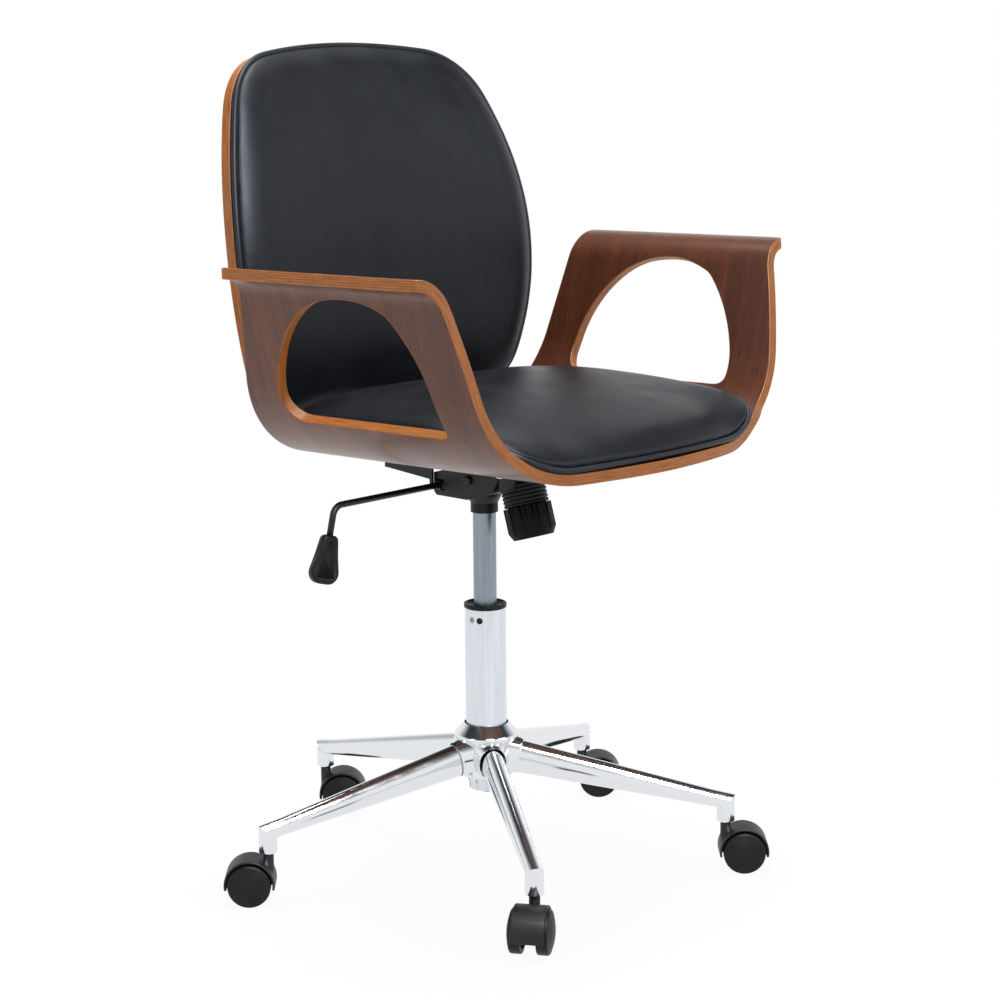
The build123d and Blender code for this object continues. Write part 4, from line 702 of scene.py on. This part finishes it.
def cushion(name, shape, top, under):
    """Closed pad between two grids of points, blown up as leatherette over foam, glued down at its seam."""
    rows, columns = shape
    count = rows * columns

    def cells(first, turned):
        found = []
        for i in range(rows - 1):
            for j in range(columns - 1):
                a = first + i * columns + j
                quad = (a, a + columns, a + columns + 1, a + 1)
                found.append(quad[::-1] if turned else quad)
        return found

    faces = cells(0, False) + cells(count, True)
    rim = [i * columns for i in range(rows)] + [(rows - 1) * columns + j for j in range(1, columns)]
    rim += [i * columns + columns - 1 for i in range(rows - 2, -1, -1)] + list(range(columns - 2, 0, -1))
    for a, b in zip(rim, rim[1:] + rim[:1]):
        faces.append((a, a + count, b + count, b))
    rest = np.array(top + under)
    mesh = bpy.data.meshes.new(name)
    mesh.from_pydata(rest.tolist(), [], faces)
    skin = bmesh.new()
    skin.from_mesh(mesh)
    bmesh.ops.recalc_face_normals(skin, faces=skin.faces)
    skin.to_mesh(mesh)
    skin.free()
    pad = bpy.data.objects.new(name, mesh)
    scene.collection.objects.link(pad)
    glued = pad.vertex_groups.new(name="glued")
    glued.add(rim + list(range(count, 2 * count)), 1.0, "REPLACE")
    cloth = pad.modifiers.new("swell", "CLOTH")
    cloth.settings.vertex_group_mass = "glued"
    cloth.settings.use_pressure = True
    cloth.settings.uniform_pressure_force = 4.0
    cloth.settings.effector_weights.gravity = 0.0
    cloth.settings.quality = 6
    cloth.settings.tension_stiffness = cloth.settings.compression_stiffness = 25.0
    cloth.point_cache.frame_start, cloth.point_cache.frame_end = 1, SWELL_FRAMES
    for step in range(1, SWELL_FRAMES + 1):
        scene.frame_set(step)
    blown = bpy.data.meshes.new_from_object(pad.evaluated_get(bpy.context.evaluated_depsgraph_get()))
    moved = np.array([v.co for v in blown.vertices]) - rest
    pad.modifiers.clear()
    scene.frame_set(1)
    far = np.linalg.norm(moved, axis=1)
    moved *= np.minimum(1.0, SWELL_CAP / np.maximum(far, 1e-9))[:, None]
    swell = moved[:count].reshape(rows, columns, 3)
    for _ in range(SWELL_ROUNDS):
        evened(swell)
    rest[:count] += swell.reshape(-1, 3)
    mesh.vertices.foreach_set("co", rest.ravel())
    finer = pad.modifiers.new("finer", "SUBSURF")
    finer.levels = finer.render_levels = 1
    smooth = bpy.data.meshes.new_from_object(pad.evaluated_get(bpy.context.evaluated_depsgraph_get()))
    bpy.data.objects.remove(pad)
    return shaded(smooth)


def upholster(name, node, mesh, path):
    """Pad in place of its solid, with a piping along its seam."""
    pad = new_piece(name + "_cushion", mesh, "seat", LEATHER)
    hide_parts(node)
    piping = new_piece(name + "_piping", tube_mesh(name + "_piping", path, PIPING_R * MM), "seat", CORD_PAINTED_SHEEN)


def bend_height(x):
    """Height of the seat shell's inner face over its underside."""
    inner = BEND_R - PLY
    reach = min(max(0.0, abs(x) - FLAT_HALF), inner - 0.5)
    return BEND_R - math.sqrt(inner ** 2 - reach ** 2)


def pad_front(x):
    """Front border of the seat pad, square at its corners."""
    share = min(1.0, abs(x) / PAD_HALF)
    return FRONT_CORNER + (PAD_FRONT + FRONT_SWEEP * share ** 2 - FRONT_CORNER) * math.sqrt(1 - share ** 20)


def pad_rear(x):
    """Rear border of the seat pad, rounder at its corners."""
    share = min(1.0, abs(x) / PAD_HALF)
    return REAR_CORNER + (PAD_REAR - REAR_CORNER) * math.sqrt(1 - share ** 5)


def seat_crown(x, y):
    """Height of the seat pad's top: highest over the middle, low at the front, fuller at the rear."""
    share = min(1.0, abs(x) / PAD_HALF)
    front, rear = pad_front(x) + 5, pad_rear(x) - 4
    top = SEAT_SIDE + (SEAT_CROWN - SEAT_SIDE) * (1 - share ** 4)
    front_top = bend_height(x) + NOSE_RISE - NOSE_DROP * share ** 4
    rear_top = max(front_top, SEAT_SIDE - 8)
    middle, height, radius = ring_through((rear, rear_top), ((front + rear) / 2, top), (front, front_top))
    return height + math.sqrt(max(0.0, radius ** 2 - (min(max(y, front), rear) - middle) ** 2))


def piping_lift(x):
    """Height of the seat piping's middle over the shell, lower where the shell bends up."""
    return SEAT_PIPING_RISE - SEAT_PIPING_DROP * min(1.0, abs(x) / PAD_HALF) ** 2


def build_seat_pad():
    xs = [PAD_HALF * math.sin(math.pi / 2 * k / 60) for k in range(-60, 61)]
    border = [(x, pad_front(x)) for x in xs] + [(x, pad_rear(x)) for x in reversed(xs)]
    loop = clockwise(softened(resampled(border, 4.0), 6), False)
    seam_line = loop - outward(loop) * PIPING_R
    grid = filled(seam_line, np.array(SEAT_PAD_MIDDLE))
    flat = grid.reshape(-1, 2)
    top, under = [], []
    for (x, y), (u, v), full, (seam_x, _) in zip(flat, *roll_over(flat, seam_line, *SEAT_ROLL)):
        seam = bend_height(seam_x) + piping_lift(seam_x) - 1.5
        height = seam + max(0.0, seat_crown(x, y) - SWELL_ROOM - seam) * full
        top.append((SEAT_FRAME @ Vector((u, v, height))) * MM)
        under.append((SEAT_FRAME @ Vector((x, y, bend_height(x) + GLUE_GAP))) * MM)
    mesh = cushion("seat_cushion", grid.shape[:2], top, under)
    path = [(SEAT_FRAME @ Vector((x, y, bend_height(x) + piping_lift(x)))) * MM for x, y in loop]
    upholster("seat", "seat_pad", mesh, path)


def back_crown(x, z):
    """Front of the back pad, before its border turns in."""
    depths = (BACK_PAD_EDGE, BACK_PAD_CROWN, BACK_PAD_EDGE)
    near = [(y - depth, height) for (y, height), depth in zip(BACK_SIDE, depths)]
    cy, cz, radius = ring_through(*near)
    towards = 1 if near[1][0] > cy else -1
    axis = near[1][0] - BACK_PAD_BEND_R
    return axis + math.sqrt((cy + towards * math.sqrt(radius ** 2 - (z - cz) ** 2) - axis) ** 2 - x * x)


def build_back_pad():
    inset = np.interp(BACK_LOOP[:, 1], *BACK_INSET)
    loop = BACK_LOOP - outward(BACK_LOOP) * inset[:, None]
    seam_line = loop - outward(loop) * PIPING_R * 0.5
    grid = filled(seam_line, np.array(BACK_PAD_MIDDLE))
    flat = grid.reshape(-1, 2)
    seam = BACK_PIPING_RISE
    top, under = [], []
    for (x, z), (u, v), full, _ in zip(flat, *roll_over(flat, seam_line, *BACK_ROLL)):
        point, normal = back_surface(u, v)
        depth = seam + max(0.0, point.y - back_crown(u, v) - SWELL_ROOM - seam) * full
        top.append((point - normal * depth) * MM)
        point, normal = back_surface(x, z)
        under.append((point - normal * GLUE_GAP) * MM)
    mesh = cushion("back_cushion", grid.shape[:2], top, under)
    path = []
    for x, z in loop:
        point, normal = back_surface(x, z)
        path.append((point - normal * seam) * MM)
    upholster("back", "back_pad", mesh, path)


build_seat_pad()
build_back_pad()


# Base and column

def skinned(name, rings, sharp=FORM_SHARP):
    """Smooth skin over rings of points in millimetres, with its sharper edges kept."""
    count = len(rings[0])
    faces = []
    for k in range(len(rings) - 1):
        for j in range(count):
            a, b = k * count, (k + 1) * count
            faces.append((a + j, a + (j + 1) % count, b + (j + 1) % count, b + j))
    mesh = bpy.data.meshes.new(name)
    mesh.from_pydata([tuple(Vector(p) * MM) for ring in rings for p in ring], [], faces)
    skin = bmesh.new()
    skin.from_mesh(mesh)
    bmesh.ops.remove_doubles(skin, verts=skin.verts, dist=1e-7)
    bmesh.ops.recalc_face_normals(skin, faces=skin.faces)
    skin.to_mesh(mesh)
    skin.free()
    return shaded(mesh, sharp)


def spun(name, profile):
    """Turned piece round the column's axis, from (radius, height) points."""
    sides = 96
    turns = [2 * math.pi * k / sides for k in range(sides)]
    return skinned(name, [[(r * math.cos(a), r * math.sin(a), z) for a in turns] for r, z in profile])


def leg_ring(along, turn, grow=0.0, lift=0.0):
    """Oval ring round a leg at a distance from the column's axis, grown most at its sides."""
    share = (along - LEG_ROOT[0]) / (LEG_TIP[0] - LEG_ROOT[0])
    run, fall = LEG_TIP[0] - LEG_ROOT[0], LEG_TIP[1] - LEG_ROOT[1]
    forward = Vector((run, 0, fall)).normalized()
    up = Vector((-forward.z, 0, forward.x))
    wide, tall = [a + (b - a) * share for a, b in zip(LEG_ROOT_SIZE, LEG_TIP_SIZE)]
    centre = Vector((along, 0, LEG_ROOT[1] + fall * share + lift))
    ring, sides = [], 48
    for k in range(sides):
        a = 2 * math.pi * k / sides
        point = centre + up * math.sin(a) * (tall / 2 + grow * 0.5)
        point.y = math.cos(a) * (wide / 2 + grow)
        ring.append(Matrix.Rotation(turn, 3, "Z") @ point)
    return ring


def to_mitre(ring, turn):
    """Ring slid along its leg onto the mitre at the leg's tip."""
    forward = Vector((LEG_TIP[0] - LEG_ROOT[0], 0, LEG_TIP[1] - LEG_ROOT[1])).normalized()
    run = Vector((2 * SOCKET_R, 0, MITRE_HIGH - MITRE_LOW)).normalized()
    normal = Vector((run.z, 0, -run.x))
    middle = Vector((LEG_TIP[0], 0, (MITRE_LOW + MITRE_HIGH) / 2))
    spin = Matrix.Rotation(turn, 3, "Z")
    slid = []
    for point in ring:
        local = spin.transposed() @ point
        slid.append(spin @ (local + forward * ((middle - local).dot(normal) / forward.dot(normal))))
    return slid


def build_base():
    # Half section as (radius, height): foot, drawn-in waist, rolled shoulder, cone up to the tube
    hub = [(21.8, 111.5), (29.0, 111.5), (31.5, 112.6), (33.0, 115.0), (32.6, 120.0), (31.8, 128.0),
           (31.5, 139.0), (32.0, 146.0), (33.6, 152.5), (36.2, 157.4), (38.4, 160.4), (39.5, 162.4),
           (39.7, 163.8), (39.3, 165.2), (38.0, 166.8), (33.0, 172.0), (28.4, 177.6), (27.6, 178.4),
           (26.9, 178.2), (26.6, 177.2), (26.6, 160.0)]
    piece = new_piece("pressed_hub", spun("pressed_hub", hub), "base", CHROME)
    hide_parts("base_hub")
    # Collar round each leg's root, as (distance from the axis, how far it stands over the leg)
    lip = [(24.0, 10.0), (31.0, 7.4), (36.0, 5.4), (39.6, 4.1), (41.4, 3.4), (42.0, 2.8), (41.8, 2.2),
           (40.8, 1.8), (33.0, 1.6)]
    for k, turn in enumerate(LEG_TURNS):
        rings = [leg_ring(along, turn) for along in np.linspace(28.0, LEG_END, 12)]
        rings += [to_mitre(leg_ring(LEG_END, turn, grow), turn) for grow in (0.0, -2.0)]
        leg = new_piece(f"oval_leg_{k + 1}", skinned(f"oval_leg_{k + 1}", rings), "base", CHROME)
        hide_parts(f"base_leg_{k + 1}")
        collar = skinned(f"leg_collar_{k + 1}", [leg_ring(along, turn, grow, 1.0) for along, grow in lip])
        new_piece(f"leg_collar_{k + 1}", collar, "base", CHROME)


def build_sockets():
    """Five upright caster sockets with rounded lower rims, mitred to the legs."""
    joined = bmesh.new()
    slope = (MITRE_HIGH - MITRE_LOW) / (2 * SOCKET_R)
    rim = [(5.6, 72.0), (5.6, SOCKET_LOW + 0.4), (6.0, SOCKET_LOW), (SOCKET_R - 1.2, SOCKET_LOW),
           (SOCKET_R - 0.4, SOCKET_LOW + 0.4), (SOCKET_R, SOCKET_LOW + 1.2)]
    rim = [(r, z, 0.0) for r, z in rim]
    rim += [(r, (MITRE_LOW + MITRE_HIGH) / 2, slope) for r in (SOCKET_R, SOCKET_R - 2.0)]
    around = [(math.cos(2 * math.pi * j / 64), math.sin(2 * math.pi * j / 64)) for j in range(64)]
    for turn in LEG_TURNS:
        spin = Matrix.Rotation(turn, 3, "Z")
        rings = [[spin @ Vector((LEG_TIP[0] + r * c, r * s, z + tilt * r * c)) for c, s in around]
                 for r, z, tilt in rim]
        part = skinned("socket", rings)
        joined.from_mesh(part)
        bpy.data.meshes.remove(part)
    mesh = bpy.data.meshes.new("caster_sockets")
    joined.to_mesh(mesh)
    joined.free()
    piece = new_piece("caster_sockets", shaded(mesh, FORM_SHARP), "base", CHROME)
    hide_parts("leg_sockets")


def build_column():
    """Outer tube, and the rivet and bush tab below its mouth; the tab's black dot also stands for the hole's
    shade, painted.
    """
    wall = [(5.1, 95.5), (20.9, 95.5), (21.5, 96.1), (TUBE_R, 172.0), (TUBE_R, TUBE_TOP - 0.6),
            (TUBE_R - 0.5, TUBE_TOP), (TUBE_BORE_R, TUBE_TOP), (TUBE_BORE_R, 105.0),
            (5.1, 105.0), (5.1, 95.5)]
    tube = new_piece("ground_tube", spun("ground_tube", wall), "base", TUBE)
    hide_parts("column_tube")
    # The bush tab's black dot is the bush's nylon showing through a hole in the tube, and also the hole's
    # painted shade.
    studs = (("tube_rivet", 183.4, 3.5, 0.8, "bare_steel", STEEL),
             ("bush_tab_and_hole_shade", 207.4, 3.9, 0.25, "black_nylon", NYLON))
    for name, turn, radius, rise, slot, finish_of in studs:
        spin = Matrix.Rotation(math.radians(turn), 3, "Z")
        rings = []
        for share, out in ((1.0, -0.6), (1.0, rise * 0.4), (0.85, rise * 0.8), (0.5, rise), (0.0, rise)):
            ring = []
            for j in range(24):
                a = 2 * math.pi * j / 24
                y, z = radius * share * math.cos(a), radius * share * math.sin(a)
                ring.append(spin @ Vector((math.sqrt(TUBE_R ** 2 - y * y) + out, y, STUD_Z + z)))
            rings.append(ring)
        new_piece(name, skinned(name, rings, sharp=60.0), "base", finish_of)


build_base()
build_sockets()
build_column()


# Finishes of the rigid pieces

FINISHES = {"chrome_plate": CHROME, "zinc_steel": ZINC, "black_steel": COAT, "bare_steel": STEEL,
            "black_nylon": NYLON, "walnut_ply": VENEER, "raw_board": BOARD, "black_leatherette": LEATHER}
OWN_FINISHES = {f"caster_{k}_hood": HOOD_NYLON_PAINTED_SHEEN for k in range(1, 6)} | {"tension_knob": KNOB_NYLON}
ROUND_PIECES = ["guide_bush", "gas_cylinder", "column_ring", "taper_socket", "spring_cup", "tension_knob",
                "lever_rocker", "lever_rod", "lever_grip", "pivot_pin", "pad_screws", "strap_bolts",
                "back_straps"]
ROUND_PIECES += [f"caster_{k}_{part}" for k in range(1, 6)
                 for part in ("hood", "stem", "wheel_a", "wheel_b")]
BODY_OF = {node: body for body, held in frame["record"]["behaviour"]["bodies"].items() for node in held}


def smoothed(node, material):
    """Stands in for a solid whose round faces are to shade without facets."""
    skin = bmesh.new()
    skin.from_mesh(nodes[node].data)
    bmesh.ops.remove_doubles(skin, verts=skin.verts, dist=1e-6)
    mesh = bpy.data.meshes.new(node + "_skin")
    skin.to_mesh(mesh)
    skin.free()
    piece = new_piece(node + "_skin", shaded(mesh, SOLID_SHARP), BODY_OF[node], material)
    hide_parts(node)
    return piece


for part in frame["record"]["subparts"]:
    solid = nodes[part["node"]]
    finish_of = OWN_FINISHES.get(part["node"], FINISHES[part["material_slot"]])
    solid.data.materials.clear()
    solid.data.materials.append(finish_of)
    if part["node"] in ROUND_PIECES:
        smoothed(part["node"], finish_of)


# Studio

def background_rays(tree):
    """1 for the rays that see the background: straight, in a mirror or through a clear piece."""
    rays = add(tree, "LightPath").outputs
    seen = add(tree, "Math", {0: rays["Is Camera Ray"], 1: rays["Is Glossy Ray"]}, operation="MAXIMUM")
    return add(tree, "Math", {0: seen, 1: rays["Is Transmission Ray"]}, operation="MAXIMUM")


def stage_floor():
    half = 40.0
    corners = [(-half, -half, 0), (half, -half, 0), (half, half, 0), (-half, half, 0)]
    mesh = bpy.data.meshes.new("studio_floor")
    mesh.from_pydata(corners, [], [(0, 1, 2, 3)])
    floor = bpy.data.objects.new("studio_floor", mesh)
    scene.collection.objects.link(floor)

    def paper(tree):
        # Matt white paper sweep: shows as white with a faint shadow.
        place = add(tree, "TexCoord").outputs["Object"]
        reach = add(tree, "VectorMath", {0: place}, operation="LENGTH").outputs["Value"]
        glow_share = add(tree, "MapRange", {0: reach, 1: 0.5, 2: 1.8, 3: 0.94, 4: 1.0})
        share = add(tree, "Math", {0: background_rays(tree), 1: glow_share}, operation="MULTIPLY")
        matt = add(tree, "BsdfDiffuse", {"Color": tone("#f4f4f4")})
        glow = add(tree, "Emission", {"Color": tone("#ffffff"), "Strength": 1.0})
        return add(tree, "MixShader", {0: share, 1: matt, 2: glow})

    mesh.materials.append(finish("paper_white", paper))


def stage_world():
    world = bpy.data.worlds.new("studio")
    scene.world = world
    world.use_nodes = True
    tree = world.node_tree
    tree.nodes.clear()
    up = add(tree, "SeparateXYZ", {0: add(tree, "TexCoord").outputs["Generated"]}).outputs[2]
    room = add(tree, "ValToRGB", {0: up}, stops=[(0.0, "#b4b5b8"), (0.75, "#ffffff"), (0.28, "#d8d9db")])
    soft = add(tree, "Background", {"Color": room, "Strength": 0.62})
    # White sweep up to head height, under a dark ceiling.
    sweep = add(tree, "ValToRGB", {0: up}, stops=[(0.36, "#ffffff"), (0.66, "#3a3b3e"), (0.50, "#c4c7cb")])
    white = add(tree, "Background", {"Color": sweep, "Strength": 1.0})
    mixed = add(tree, "MixShader", {0: background_rays(tree), 1: soft, 2: white})
    add(tree, "OutputWorld", {"Surface": mixed})


def stage_lamp(name, place, aim, size, power):
    lamp = bpy.data.objects.new(name, bpy.data.lights.new(name, "AREA"))
    lamp.data.shape = "RECTANGLE"
    lamp.data.size, lamp.data.size_y = size
    lamp.data.energy = power
    scene.collection.objects.link(lamp)
    lamp.location = place
    lamp.rotation_euler = (Vector(aim) - Vector(place)).to_track_quat("-Z", "Y").to_euler()
    return lamp


stage_floor()
stage_world()
stage_lamp("left_softbox", (-2.4, 0.5, 1.35), (0, 0, 0.75), (0.6, 1.9), 6.0)
# Two bright cards that show only as a sheen.
left_card = stage_lamp("left_card", (-0.85, -1.6, 2.35), (-0.2, 0.17, 0.85), (0.8, 1.9), 140.0)
front_card = stage_lamp("front_card", (1.1, -2.6, 0.9), (0.1, 0.2, 0.8), (0.8, 1.4), 5.0)
left_card.visible_diffuse = front_card.visible_diffuse = False
stage_lamp("front_softbox", (0.9, -2.8, 2.4), (0, 0, 0.6), (1.8, 1.2), 22.0)
stage_lamp("top_softbox", (0.2, 0.2, 3.0), (0, 0, 0.5), (1.6, 1.6), 80.0)
